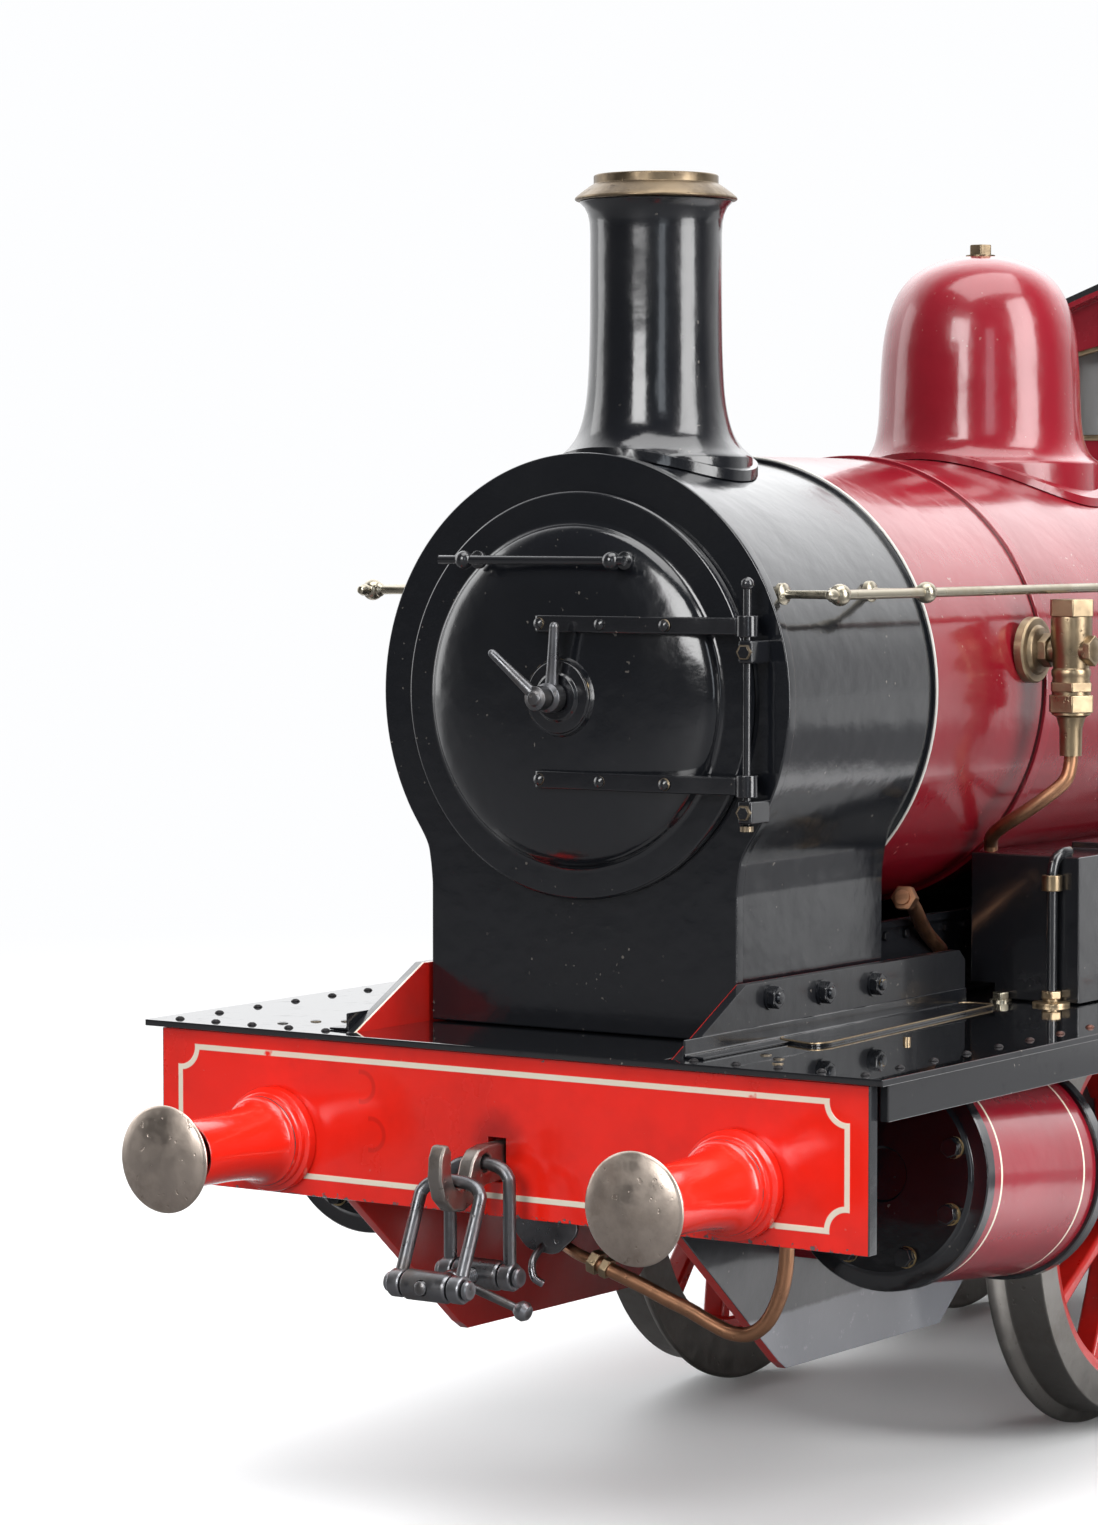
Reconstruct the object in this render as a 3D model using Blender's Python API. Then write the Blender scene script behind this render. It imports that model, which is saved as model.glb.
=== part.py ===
"""A model steam locomotive for raised track: six coupled wheels, outside cylinders, cab and coal bunker.

Drawing lengths are shares of the buffer beam's width, so BEAM_WIDTH scales everything. The drawing's zero
is the top edge of the front buffer beam, on its front face and on the centre line: x runs to the engine's
left-hand side, y runs back along the engine, z runs up.
"""

import math

import bmesh
import bpy
from mathutils import Matrix, Vector

BEAM_WIDTH = 0.220  # metres; it sets the scale, and suits track of 127 mm gauge

FIT = 0.0015  # working gap between neighbouring pieces, as a share of the beam width: 0.33 mm
BEAM_HEIGHT = 0.190
FRONT_END, REAR_END = -0.223, 3.303  # buffer faces
REAR_BEAM = 3.062  # front face of the rear beam
FOOTPLATE_TOP = 0.009
FOOTPLATE_HALF = 0.521
FRAME_OUTER, FRAME_INNER = 0.238, 0.224
BOILER_Z, BOILER_RADIUS = 0.413, 0.290
SMOKEBOX_FRONT, SMOKEBOX_BACK, SMOKEBOX_RADIUS = 0.1775, 0.530, 0.284
BACKHEAD = 2.260  # rear face of the boiler, inside the cab
CHIMNEY_Y, DOME_Y, VALVE_Y = 0.343, 1.173, 1.930
AXLES = (1.000, 1.640, 2.280)
AXLE_Z, AXLE_RADIUS = -0.275, 0.030
TREAD_RADIUS, FLANGE_RADIUS = 0.277, 0.297
WHEEL_BACK, WHEEL_FACE = 0.262, 0.335
CRANK_THROW = 0.100
PIN_RADIUS = 0.013
SIDE_ROD = (0.341, 0.353)  # inner and outer face of the coupling rods
MAIN_ROD = (0.3865, 0.3985)  # inner and outer face of the connecting rods
CYLINDER_X, CYLINDER_Y, CYLINDER_Z = 0.373, 0.250, -0.140
MAIN_ROD_LENGTH = 0.623
HINGE_X, HINGE_Y = 0.249, 0.150  # smokebox door hinge pin
BUFFER_X, BUFFER_Z = 0.327, -0.124
HOOK_Z = -0.122
LINK_Y = -0.035  # hole in the drawhook for the coupling's link
CAB_FRONT, CAB_BACK, CAB_HALF = 2.200, 2.740, 0.450

LOWEST = AXLE_Z - FLANGE_RADIUS
MIDDLE = (FRONT_END + REAR_END) / 2
DATUM = Vector((0.0, MIDDLE, LOWEST))
SLOPE = math.atan2(AXLE_Z - CYLINDER_Z, AXLES[1] - CYLINDER_Y)  # the cylinders lean down to the middle axle
DRIVE_LENGTH = math.hypot(AXLE_Z - CYLINDER_Z, AXLES[1] - CYLINDER_Y)
SIDES = {"left": 1, "right": -1}


def clear_scene():
    for item in list(bpy.data.objects):
        bpy.data.objects.remove(item, do_unlink=True)


def material(name, colour, metallic, roughness):
    made = bpy.data.materials.new(name)
    made.use_nodes = True
    shader = made.node_tree.nodes["Principled BSDF"]
    shader.inputs["Base Color"].default_value = (*colour, 1)
    shader.inputs["Metallic"].default_value = metallic
    shader.inputs["Roughness"].default_value = roughness
    made.diffuse_color = (*colour, 1)
    return made


# ---- shapes: each returns a plain mesh in drawing lengths ----


def mesh_of(shape):
    bmesh.ops.recalc_face_normals(shape, faces=shape.faces)
    mesh = bpy.data.meshes.new("shape")
    shape.to_mesh(mesh)
    shape.free()
    return mesh


def turned(profile, matrix, steps=24, ring=False):
    """Revolves (radius, height) points about Z, then places them. A ring is closed; otherwise the ends meet the axis."""
    shape = bmesh.new()
    rows = []
    for radius, height in profile:
        count = 1 if radius == 0 else steps
        rows.append(
            [
                shape.verts.new(
                    matrix
                    @ Vector(
                        (
                            radius * math.cos(math.tau * i / steps),
                            radius * math.sin(math.tau * i / steps),
                            height,
                        )
                    )
                )
                for i in range(count)
            ]
        )
    pairs = list(zip(rows, rows[1:] + rows[:1])) if ring else list(zip(rows, rows[1:]))
    for low, high in pairs:
        for i in range(steps):
            j = (i + 1) % steps
            corners = [low[i % len(low)], low[j % len(low)], high[j % len(high)], high[i % len(high)]]
            shape.faces.new(list(dict.fromkeys(corners)))
    if not ring:
        for row, back in ((rows[0], True), (rows[-1], False)):
            if len(row) > 1:
                shape.faces.new(row[::-1] if back else row)
    return mesh_of(shape)


def upright(x, y, z=0.0):
    return Matrix.Translation((x, y, z))


def along_x(x, y, z, way=1):
    return Matrix.Translation((x, y, z)) @ Matrix.Rotation(way * math.pi / 2, 4, "Y")


def along_y(x, y, z):
    """Height of the profile runs back along +Y."""
    return Matrix.Translation((x, y, z)) @ Matrix.Rotation(-math.pi / 2, 4, "X")


def round_bar(matrix, radius, low, high, steps=12):
    return turned([(radius, low), (radius, high)], matrix, steps)


def slab(outline, plane, low, high):
    """Extrudes a closed outline: plane names the two axes of its points, and the third runs from low to high."""
    place = {
        "YZ": lambda p, t: (t, p[0], p[1]),
        "XZ": lambda p, t: (p[0], t, p[1]),
        "XY": lambda p, t: (p[0], p[1], t),
    }[plane]
    shape = bmesh.new()
    near = [shape.verts.new(place(p, low)) for p in outline]
    far = [shape.verts.new(place(p, high)) for p in outline]
    shape.faces.new(near)
    shape.faces.new(far[::-1])
    for i in range(len(outline)):
        j = (i + 1) % len(outline)
        shape.faces.new((near[i], far[i], far[j], near[j]))
    return mesh_of(shape)


def block(x0, x1, y0, y1, z0, z1):
    return slab([(x0, y0), (x1, y0), (x1, y1), (x0, y1)], "XY", z0, z1)


def rod_along(points, radius, steps=6):
    """A round bar bent through the points."""
    points = [Vector(p) for p in points]
    shape = bmesh.new()
    rows = []
    side = None
    for i, point in enumerate(points):
        before = point - points[i - 1] if i else points[1] - point
        after = points[i + 1] - point if i + 1 < len(points) else before
        way = (before.normalized() + after.normalized()).normalized()
        if side is None:
            side = way.orthogonal().normalized()
        side = (side - way * side.dot(way)).normalized()
        other = way.cross(side)
        rows.append(
            [
                shape.verts.new(
                    point
                    + radius * (side * math.cos(math.tau * k / steps) + other * math.sin(math.tau * k / steps))
                )
                for k in range(steps)
            ]
        )
    for low, high in zip(rows, rows[1:]):
        for k in range(steps):
            j = (k + 1) % steps
            shape.faces.new((low[k], low[j], high[j], high[k]))
    shape.faces.new(rows[0][::-1])
    shape.faces.new(rows[-1])
    return mesh_of(shape)


def ball(x, y, z, radius, steps=8):
    profile = [(0, -radius)]
    profile += [(radius * math.sin(a), -radius * math.cos(a)) for a in (math.pi * k / 4 for k in range(1, 4))]
    return turned(profile + [(0, radius)], upright(x, y, z), steps)


def arc(cx, cy, radius, start, end, count):
    """Points on an arc; the angles are degrees."""
    turns = (math.radians(start + (end - start) * k / (count - 1)) for k in range(count))
    return [(cx + radius * math.cos(a), cy + radius * math.sin(a)) for a in turns]


def along_drive(x, distance, height=0.0):
    """A point at a distance along the sloping line of drive, and a height square to it."""
    return Vector(
        (
            x,
            CYLINDER_Y + distance * math.cos(SLOPE) - height * math.sin(SLOPE),
            CYLINDER_Z + distance * math.sin(SLOPE) + height * math.cos(SLOPE),
        )
    )


def drive_matrix(x):
    """Height of the profile runs back along the line of drive."""
    return Matrix.Translation((x, CYLINDER_Y, CYLINDER_Z)) @ Matrix.Rotation(SLOPE - math.pi / 2, 4, "X")


def drive_slab(x0, x1, outline):
    """A plate square to X, from outline points given along the line of drive and square to it."""
    points = [along_drive(0, s, h) for s, h in outline]
    return slab([(p.y, p.z) for p in points], "YZ", x0, x1)


def drive_block(x0, x1, s0, s1, h0, h1):
    return drive_slab(x0, x1, [(s0, h0), (s1, h0), (s1, h1), (s0, h1)])


# ---- joining and cutting ----


def temporary(mesh):
    item = bpy.data.objects.new("temporary", mesh)
    bpy.context.scene.collection.objects.link(item)
    return item


def combined(first, others, operation):
    """Applies one exact Boolean per mesh and returns the resulting mesh, in drawing lengths."""
    host = temporary(first)
    helpers = []
    for mesh in others:
        helper = temporary(mesh)
        change = host.modifiers.new("change", "BOOLEAN")
        change.operation = operation
        change.solver = "EXACT"
        change.object = helper
        helpers.append(helper)
    bpy.context.view_layer.update()
    result = bpy.data.meshes.new_from_object(host.evaluated_get(bpy.context.evaluated_depsgraph_get()))
    for item in [host] + helpers:
        bpy.data.objects.remove(item, do_unlink=True)
    return result


def joined(*meshes):
    return combined(meshes[0], meshes[1:], "UNION")


def cut(mesh, *cutters):
    return combined(mesh, cutters, "DIFFERENCE")


def shared(first, second):
    return combined(first, [second], "INTERSECT")


def mirrored(mesh):
    copy = mesh.copy()
    copy.transform(Matrix.Scale(-1, 4, (1, 0, 0)))
    copy.flip_normals()
    return copy


def moved(mesh, x, y, z):
    copy = mesh.copy()
    copy.transform(Matrix.Translation((x, y, z)))
    return copy


def node(name, mesh, finish, origin=(0, 0, 0), smooth=True):
    """Makes the named piece, in metres, with its own origin."""
    origin = Vector(origin)
    mesh.transform(Matrix.Scale(BEAM_WIDTH, 4) @ Matrix.Translation(-origin))
    mesh.name = name
    mesh.materials.clear()
    mesh.materials.append(finish)
    if smooth:
        for face in mesh.polygons:
            face.use_smooth = True
        mesh.set_sharp_from_angle(angle=math.radians(34))
    item = bpy.data.objects.new(name, mesh)
    item.location = (origin - DATUM) * BEAM_WIDTH
    bpy.context.scene.collection.objects.link(item)
    return item


clear_scene()
BLACK = material("gloss black paint", (0.010, 0.011, 0.014), 0.0, 0.25)
LAKE = material("crimson lake paint", (0.23, 0.008, 0.018), 0.0, 0.22)
SIGNAL_RED = material("signal red paint", (0.72, 0.02, 0.012), 0.0, 0.35)
WHEEL_RED = material("wheel red paint", (0.45, 0.015, 0.012), 0.0, 0.35)
STEEL = material("brushed steel", (0.42, 0.41, 0.39), 1.0, 0.38)
DARK_STEEL = material("dark steel", (0.12, 0.125, 0.135), 1.0, 0.42)
BRIGHT = material("nickelled steel", (0.62, 0.58, 0.50), 1.0, 0.28)
BRASS = material("aged brass", (0.36, 0.24, 0.10), 1.0, 0.38)

# ---- frames, beams and footplate ----

plate = [(0.0195, -BEAM_HEIGHT), (0.243, -0.374), (0.262, -0.386), (0.640, -0.390), (0.700, -0.345)]
plate += [(2.900, -0.345), (REAR_BEAM - FIT, -BEAM_HEIGHT), (REAR_BEAM - FIT, -0.003)]
plate += [(0.702, -0.003), (0.702, 0.066), (0.687, 0.079), (0.168, 0.081), (0.023, 0.006), (0.0195, -0.003)]
bearings = [round_bar(along_x(0, y, AXLE_Z), AXLE_RADIUS + FIT, 0.15, 0.30, 16) for y in AXLES]
left_frame = cut(slab(plate, "YZ", FRAME_INNER, FRAME_OUTER), *bearings)
node("frame_right", mirrored(left_frame), BLACK, smooth=False)
node("frame_left", left_frame, BLACK, smooth=False)

middle_stretcher = joined(
    block(-FRAME_INNER + FIT, FRAME_INNER - FIT, 1.314, 1.326, -0.330, -0.010),
    block(-FRAME_INNER + FIT, FRAME_INNER - FIT, 1.300, 1.340, -0.340, -0.328),
)
node("stretcher", middle_stretcher, BLACK, smooth=False)

hook_slot = block(-0.0125, 0.0125, -0.1, 0.1, HOOK_Z - 0.027, HOOK_Z + 0.025)
node(
    "beam_front",
    cut(block(-0.5, 0.5, 0, 0.018, -BEAM_HEIGHT, 0.001 - FIT), hook_slot),
    SIGNAL_RED,
    smooth=False,
)
node(
    "beam_rear",
    cut(
        block(-0.5, 0.5, REAR_BEAM, REAR_BEAM + 0.018, -BEAM_HEIGHT, 0.001 - FIT),
        moved(hook_slot, 0, REAR_BEAM, 0),
    ),
    SIGNAL_RED,
    smooth=False,
)

deck = joined(
    block(-FOOTPLATE_HALF, FOOTPLATE_HALF, -0.008, REAR_BEAM + 0.026, 0.001, FOOTPLATE_TOP),
    block(0.500, 0.512, 0.0215, REAR_BEAM - 0.003, -0.042, 0.004),
    block(-0.512, -0.500, 0.0215, REAR_BEAM - 0.003, -0.042, 0.004),
    *[
        block(*sorted((side * 0.250, side * 0.350)), y - 0.205, y + 0.205, 0.005, 0.046)
        for side in (1, -1)
        for y in AXLES[1:]
    ],
)
frame_slots = [
    block(*sorted((side * (FRAME_INNER - FIT), side * (FRAME_OUTER + FIT))), 0.015, 0.706, -0.1, 0.1)
    for side in (1, -1)
]
wheel_slots = [
    block(*sorted((side * 0.257, side * 0.343)), y - 0.192, y + 0.192, -0.1, 0.036)
    for side in (1, -1)
    for y in AXLES
]
firebox_slot = block(-0.205, 0.205, 1.690, 2.225, -0.1, 0.1)
node("footplate", cut(deck, *frame_slots, *wheel_slots, firebox_slot), BLACK, smooth=False)

# ---- boiler, smokebox and their fittings ----


def smokebox_outline(radius, leg):
    right = arc(0, BOILER_Z, radius, 90, -30, 13)
    waist = [(leg + 0.009, 0.231), (leg + 0.003, 0.208), (leg, 0.180), (leg, FOOTPLATE_TOP + FIT)]
    half = right + waist
    return half + [(-x, z) for x, z in half[::-1][:-1]]


smokebox = joined(
    slab(smokebox_outline(0.290, 0.2190), "XZ", SMOKEBOX_FRONT, SMOKEBOX_FRONT + 0.016),
    slab(smokebox_outline(SMOKEBOX_RADIUS, 0.2130), "XZ", SMOKEBOX_FRONT + 0.014, SMOKEBOX_BACK),
    *[block(0.2455, 0.2630, 0.1415, 0.185, z, z + 0.027) for z in (0.271, 0.457)],
    round_bar(upright(HINGE_X, HINGE_Y), 0.0050, 0.273, 0.545, 8),
    ball(HINGE_X, HINGE_Y, 0.548, 0.0075),
)
smokebox = cut(
    smokebox,
    round_bar(along_y(0, 0, BOILER_Z), 0.262, SMOKEBOX_FRONT + 0.016, 0.600, 24),
    round_bar(along_y(0, 0, BOILER_Z), 0.215, 0.1, 0.3, 24),
    round_bar(upright(0, CHIMNEY_Y), 0.062, 0.55, 0.8, 16),
)
node("smokebox", smokebox, BLACK)

barrel = round_bar(along_y(0, 0, BOILER_Z), BOILER_RADIUS, SMOKEBOX_BACK + FIT, BACKHEAD, 36)
firebox = slab(
    [(-0.200, -0.200), (0.200, -0.200), (0.200, 0.400), (-0.200, 0.400)], "XZ", 1.695, BACKHEAD - 0.040
)
boiler = joined(barrel, firebox)
boiler = cut(
    boiler,
    round_bar(along_y(0, 0, 0.250), 0.048, BACKHEAD - 0.050, BACKHEAD + 0.1, 14),
    round_bar(along_y(0, 0, 0.560), 0.0095, BACKHEAD - 0.030, BACKHEAD + 0.1, 8),
    block(-0.3, 0.3, BACKHEAD - 0.036, BACKHEAD + 0.1, -0.3, 0.1),
)
node("boiler", boiler, LAKE)

over_smokebox = round_bar(along_y(0, 0, BOILER_Z), SMOKEBOX_RADIUS + FIT, 0, 1, 36)
chimney_flange = shared(
    round_bar(upright(0, CHIMNEY_Y), 0.125, 0.55, 0.80, 20),
    round_bar(along_y(0, 0, BOILER_Z), SMOKEBOX_RADIUS + 0.013, 0, 1, 36),
)
stack = [(0, 0.640), (0.119, 0.640), (0.119, 0.698), (0.100, 0.717), (0.0900, 0.740), (0.0820, 0.790)]
stack += [(0.0805, 0.983), (0.0908, 1.000), (0, 1.000)]
chimney = cut(
    joined(turned(stack, upright(0, CHIMNEY_Y), 20), chimney_flange),
    over_smokebox,
    round_bar(upright(0, CHIMNEY_Y), 0.062, 0.5, 1.1, 20),
)
node("chimney", chimney, BLACK)
lip = [(0.062, 1.0015), (0.0930, 1.0015), (0.1004, 1.018), (0.0907, 1.034), (0.0780, 1.046), (0.062, 1.046)]
node("chimney_cap", turned(lip, upright(0, CHIMNEY_Y), 20, ring=True), BRASS)

over_boiler = round_bar(along_y(0, 0, BOILER_Z), BOILER_RADIUS + FIT, 0.6, 2.2, 36)
dome_flange = shared(
    round_bar(upright(0, DOME_Y), 0.182, 0.50, 0.80, 20),
    round_bar(along_y(0, 0, BOILER_Z), BOILER_RADIUS + 0.010, 0.6, 1.6, 36),
)
bell = [(0.168, 0.600), (0.168, 0.700), (0.146, 0.721), (0.1390, 0.755), (0.1335, 0.870)]
bell += [(0.1200, 0.917), (0.0900, 0.956), (0.0450, 0.980)]
bell += [(0.0165, 0.985), (0.0165, 1.0005), (0, 1.0005)]
dome = cut(joined(turned(bell, upright(0, DOME_Y), 20), dome_flange), over_boiler)
node("dome", dome, LAKE)

valve = [(0.075, 0.640), (0.075, 0.712), (0.060, 0.740), (0.057, 0.800), (0.062, 0.822), (0.046, 0.822)]
valve += [(0.046, 0.812), (0, 0.812)]
valve_columns = [round_bar(upright(x, VALVE_Y), 0.014, 0.80, 0.862, 8) for x in (-0.024, 0.024)]
safety_valve = cut(joined(turned(valve, upright(0, VALVE_Y), 18), *valve_columns), over_boiler)
node("safety_valve", safety_valve, BRASS)


def clack(side):
    """Feed valve on the boiler's side, with its feed pipe down to the box beside it."""
    x, y = 0.350, 0.770
    spindle = turned(
        [(0, 0.2925), (0.040, 0.2925), (0.040, 0.303), (0.014, 0.316), (0.014, x), (0, x)],
        along_x(0, y, 0.458),
        12,
    )
    body = turned(
        [(0, 0.325), (0.012, 0.325), (0.014, 0.375), (0.023, 0.380), (0.023, 0.418), (0.019, 0.424)]
        + [(0.019, 0.506), (0.025, 0.507), (0.025, 0.523), (0, 0.523)],
        upright(x, y),
        8,
    )
    cap = turned([(0, x), (0.016, x), (0.016, 0.376), (0.010, 0.384), (0, 0.384)], along_x(0, y, 0.458), 8)
    feed = [(x, y, 0.330), (x, y, 0.312), (0.343, 0.762, 0.288), (0.322, 0.748, 0.270), (0.290, 0.745, 0.248)]
    feed += [(0.262, 0.752, 0.232), (0.240, 0.765, 0.219), (0.2305, 0.781, 0.2120), (0.230, 0.783, 0.2010)]
    made = joined(spindle, body, cap, rod_along(feed, 0.0090))
    return made if side > 0 else mirrored(made)


def handrail(side):
    x, z, front, back = 0.335, 0.536, 0.190, CAB_FRONT - FIT
    pieces = [rod_along([(x, front, z), (x, back, z)], 0.0060)]
    for y in (0.215, 0.420, 1.280, 2.120):
        radius = SMOKEBOX_RADIUS if y < SMOKEBOX_BACK else BOILER_RADIUS
        foot = math.sqrt((radius + 0.0040) ** 2 - (z - BOILER_Z) ** 2)
        pieces.append(ball(x, y, z, 0.0130))
        pieces.append(rod_along([(foot, y, z), (x, y, z)], 0.0060))
    made = joined(*pieces)
    return made if side > 0 else mirrored(made)


def sandbox(side):
    made = block(0.2450, 0.3650, 0.767, 1.233, FOOTPLATE_TOP + FIT, 0.197)
    inner = slab(
        [(0.2100, 0.030), (0.2460, 0.030), (0.2460, 0.197), (0.2100, 0.197)], "XZ", 0.767, 1.233
    )
    lid = block(0.2850, 0.3560, 0.900, 1.100, 0.190, 0.206)
    made = joined(made, inner, lid)
    made = cut(
        made,
        block(0.2540, 0.3440, 0.800, 1.200, -0.1, 0.036),
        round_bar(along_y(0, 0, BOILER_Z), BOILER_RADIUS + 2 * FIT, 0.6, 1.4, 36),
    )
    return made if side > 0 else mirrored(made)


for name, side in SIDES.items():
    node(f"clack_valve_{name}", clack(side), BRASS)
    node(f"handrail_{name}", handrail(side), BRIGHT)
    node(f"sandbox_{name}", sandbox(side), BLACK, smooth=False)

# ---- cab and bunker ----

ROOF_Z = 0.043  # centre of the roof's curve
EAVE = math.degrees(math.acos(CAB_HALF))
INNER_EAVE = math.degrees(math.acos((CAB_HALF - 0.012) / 0.988))
roof = arc(0, ROOF_Z, 1.0, EAVE, 180 - EAVE, 13)
shell = [(CAB_HALF, FOOTPLATE_TOP + FIT)] + roof + [(-CAB_HALF, FOOTPLATE_TOP + FIT)]
inner_roof = arc(0, ROOF_Z, 0.988, INNER_EAVE, 180 - INNER_EAVE, 13)
hollow = [(CAB_HALF - 0.012, -0.1)] + inner_roof + [(-CAB_HALF + 0.012, -0.1)]
cab = cut(
    slab(shell, "XZ", CAB_FRONT, CAB_BACK),
    slab(hollow, "XZ", CAB_FRONT + 0.012, CAB_BACK - 0.012),
)
entrance = [(2.445, 0.360), (2.445, 0.780)] + arc(2.505, 0.780, 0.060, 180, 90, 4)
entrance += arc(2.635, 0.780, 0.060, 90, 0, 4) + [(2.695, 0.360), (2.660, 0.340), (2.640, 0.300)]
entrance += [(2.640, -0.1), (2.480, -0.1), (2.480, 0.300), (2.465, 0.340)]
window = [(0.230, 0.755), (0.415, 0.755), (0.415, 0.880), (0.330, 0.900), (0.230, 0.900)]
cab = cut(
    cab,
    slab(entrance, "YZ", -1, 1),
    slab(window, "XZ", CAB_FRONT - 0.1, CAB_BACK + 0.1),
    slab([(-x, z) for x, z in window], "XZ", CAB_FRONT - 0.1, CAB_BACK + 0.1),
    round_bar(along_y(0, 0, BOILER_Z), BOILER_RADIUS + FIT, CAB_FRONT - 0.1, CAB_FRONT + 0.1, 36),
    block(-0.204, 0.204, CAB_FRONT - 0.1, CAB_FRONT + 0.1, -0.1, BOILER_Z),
    block(0.246, 0.354, CAB_FRONT - 0.1, CAB_FRONT + 0.1, -0.1, 0.050),
    block(-0.354, -0.246, CAB_FRONT - 0.1, CAB_FRONT + 0.1, -0.1, 0.050),
    block(-CAB_HALF + 0.012, CAB_HALF - 0.012, CAB_BACK - 0.1, CAB_BACK + 0.1, -0.1, 0.600),
)
overhang = slab(
    arc(0, ROOF_Z, 1.012, 62.2, 117.8, 13) + arc(0, ROOF_Z, 0.994, 117.8, 62.2, 13),
    "XZ",
    CAB_FRONT - 0.030,
    CAB_BACK + 0.030,
)
cab = joined(cab, overhang)
node("cab", cab, LAKE)

bunker_y = (CAB_BACK + FIT, REAR_BEAM - 0.020)
bunker = cut(
    block(-CAB_HALF, CAB_HALF, *bunker_y, FOOTPLATE_TOP + FIT, 0.600),
    block(-CAB_HALF + 0.012, CAB_HALF - 0.012, bunker_y[0] + 0.012, bunker_y[1] - 0.012, 0.120, 0.7),
)
node("bunker", bunker, LAKE, smooth=False)

# ---- cab controls ----

regulator_z = 0.560
regulator = joined(
    round_bar(along_y(0, 0, regulator_z), 0.0080, BACKHEAD - 0.025, BACKHEAD + 0.030, 8),
    round_bar(along_y(0, 0, regulator_z), 0.0170, BACKHEAD + 0.005, BACKHEAD + 0.022, 10),
    rod_along([(0, BACKHEAD + 0.0135, regulator_z), (0.055, BACKHEAD + 0.020, regulator_z + 0.105)], 0.0065),
    ball(0.057, BACKHEAD + 0.020, regulator_z + 0.108, 0.0110),
)
node("regulator_handle", regulator, STEEL, (0, BACKHEAD + 0.0135, regulator_z))

door_z = 0.250
firedoor = joined(
    round_bar(along_y(0, 0, door_z), 0.062, BACKHEAD + FIT, BACKHEAD + 0.012, 16),
    block(-0.078, 0.040, BACKHEAD + 0.004, BACKHEAD + 0.014, door_z - 0.010, door_z + 0.010),
    round_bar(upright(-0.078, BACKHEAD + 0.010), 0.0080, door_z - 0.022, door_z + 0.022, 8),
    rod_along([(0.048, BACKHEAD + 0.008, door_z), (0.048, BACKHEAD + 0.034, door_z)], 0.0060),
)
node("firehole_door", firedoor, DARK_STEEL, (-0.078, BACKHEAD + 0.010, door_z))

reverser_at = (-0.330, 2.560, 0.030)
reverser = joined(
    rod_along([(-0.330, 2.560, 0.030), (-0.330, 2.560, 0.250)], 0.0080),
    round_bar(along_x(-0.330, 2.560, 0.030), 0.0180, -0.012, 0.012, 12),
    round_bar(upright(-0.330, 2.560), 0.0115, 0.205, 0.258, 8),
)
node("reverser_lever", reverser, STEEL, reverser_at)

# ---- smokebox door ----

face = [(0, 0.1760), (0.244, 0.1760), (0.244, 0.1665), (0.207, 0.1650), (0.1980, 0.1545)]
face += [(0.1500, 0.1420), (0.0900, 0.1350), (0.0440, 0.1280), (0, 0.1280)]
door = turned(face, along_y(0, 0, BOILER_Z), 24)
for low, high in ((0.301, 0.328), (0.487, 0.513)):
    strap = [(-0.038, 0.1390), (-0.034, 0.1290), (-0.025, 0.1265), (0.150, 0.1275), (0.200, 0.1350), (0.232, 0.1400), (0.249, 0.1395)]
    strap += [(0.249, 0.1600), (0.232, 0.1600), (0.215, 0.1690), (-0.038, 0.1690)]
    door = joined(
        door,
        slab(strap, "XY", low, high),
        round_bar(upright(HINGE_X, HINGE_Y), 0.0125, low, high, 10),
    )
rail_z = 0.575
door = joined(
    door,
    rod_along([(-0.164, 0.118, rail_z), (0.100, 0.118, rail_z)], 0.0055),
    *[ball(x, 0.118, rail_z, 0.0110) for x in (-0.1285, 0.082)],
    *[rod_along([(x, 0.118, rail_z), (x, 0.172, rail_z)], 0.0060) for x in (-0.1285, 0.082)],
)
door = cut(
    door,
    round_bar(upright(HINGE_X, HINGE_Y), 0.0065, 0.2, 0.7, 6),
    round_bar(along_y(0, 0, BOILER_Z), 0.0090, 0, 0.3, 8),
)
node("smokebox_door", door, BLACK, (HINGE_X, HINGE_Y, BOILER_Z))

dart = joined(
    round_bar(along_y(0, 0, BOILER_Z), 0.0075, 0.0980, 0.2120, 10),
    round_bar(along_y(0, 0, BOILER_Z), 0.0180, 0.1060, 0.1250, 12),
    rod_along([(0, 0.114, BOILER_Z), (0.010, 0.106, BOILER_Z + 0.088)], 0.0065),
    block(-0.058, 0.058, 0.2000, 0.2110, BOILER_Z - 0.010, BOILER_Z + 0.010),
)
node("door_handle_inner", dart, DARK_STEEL, (0, 0.114, BOILER_Z))
grip = joined(
    round_bar(along_y(0, 0, BOILER_Z), 0.0145, 0.0760, 0.0965, 12),
    rod_along([(0, 0.085, BOILER_Z), (-0.056, 0.068, BOILER_Z + 0.055)], 0.0060),
)
node("door_handle_outer", grip, DARK_STEEL, (0, 0.085, BOILER_Z))

# ---- buffers, drawhooks and screw coupling ----

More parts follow.
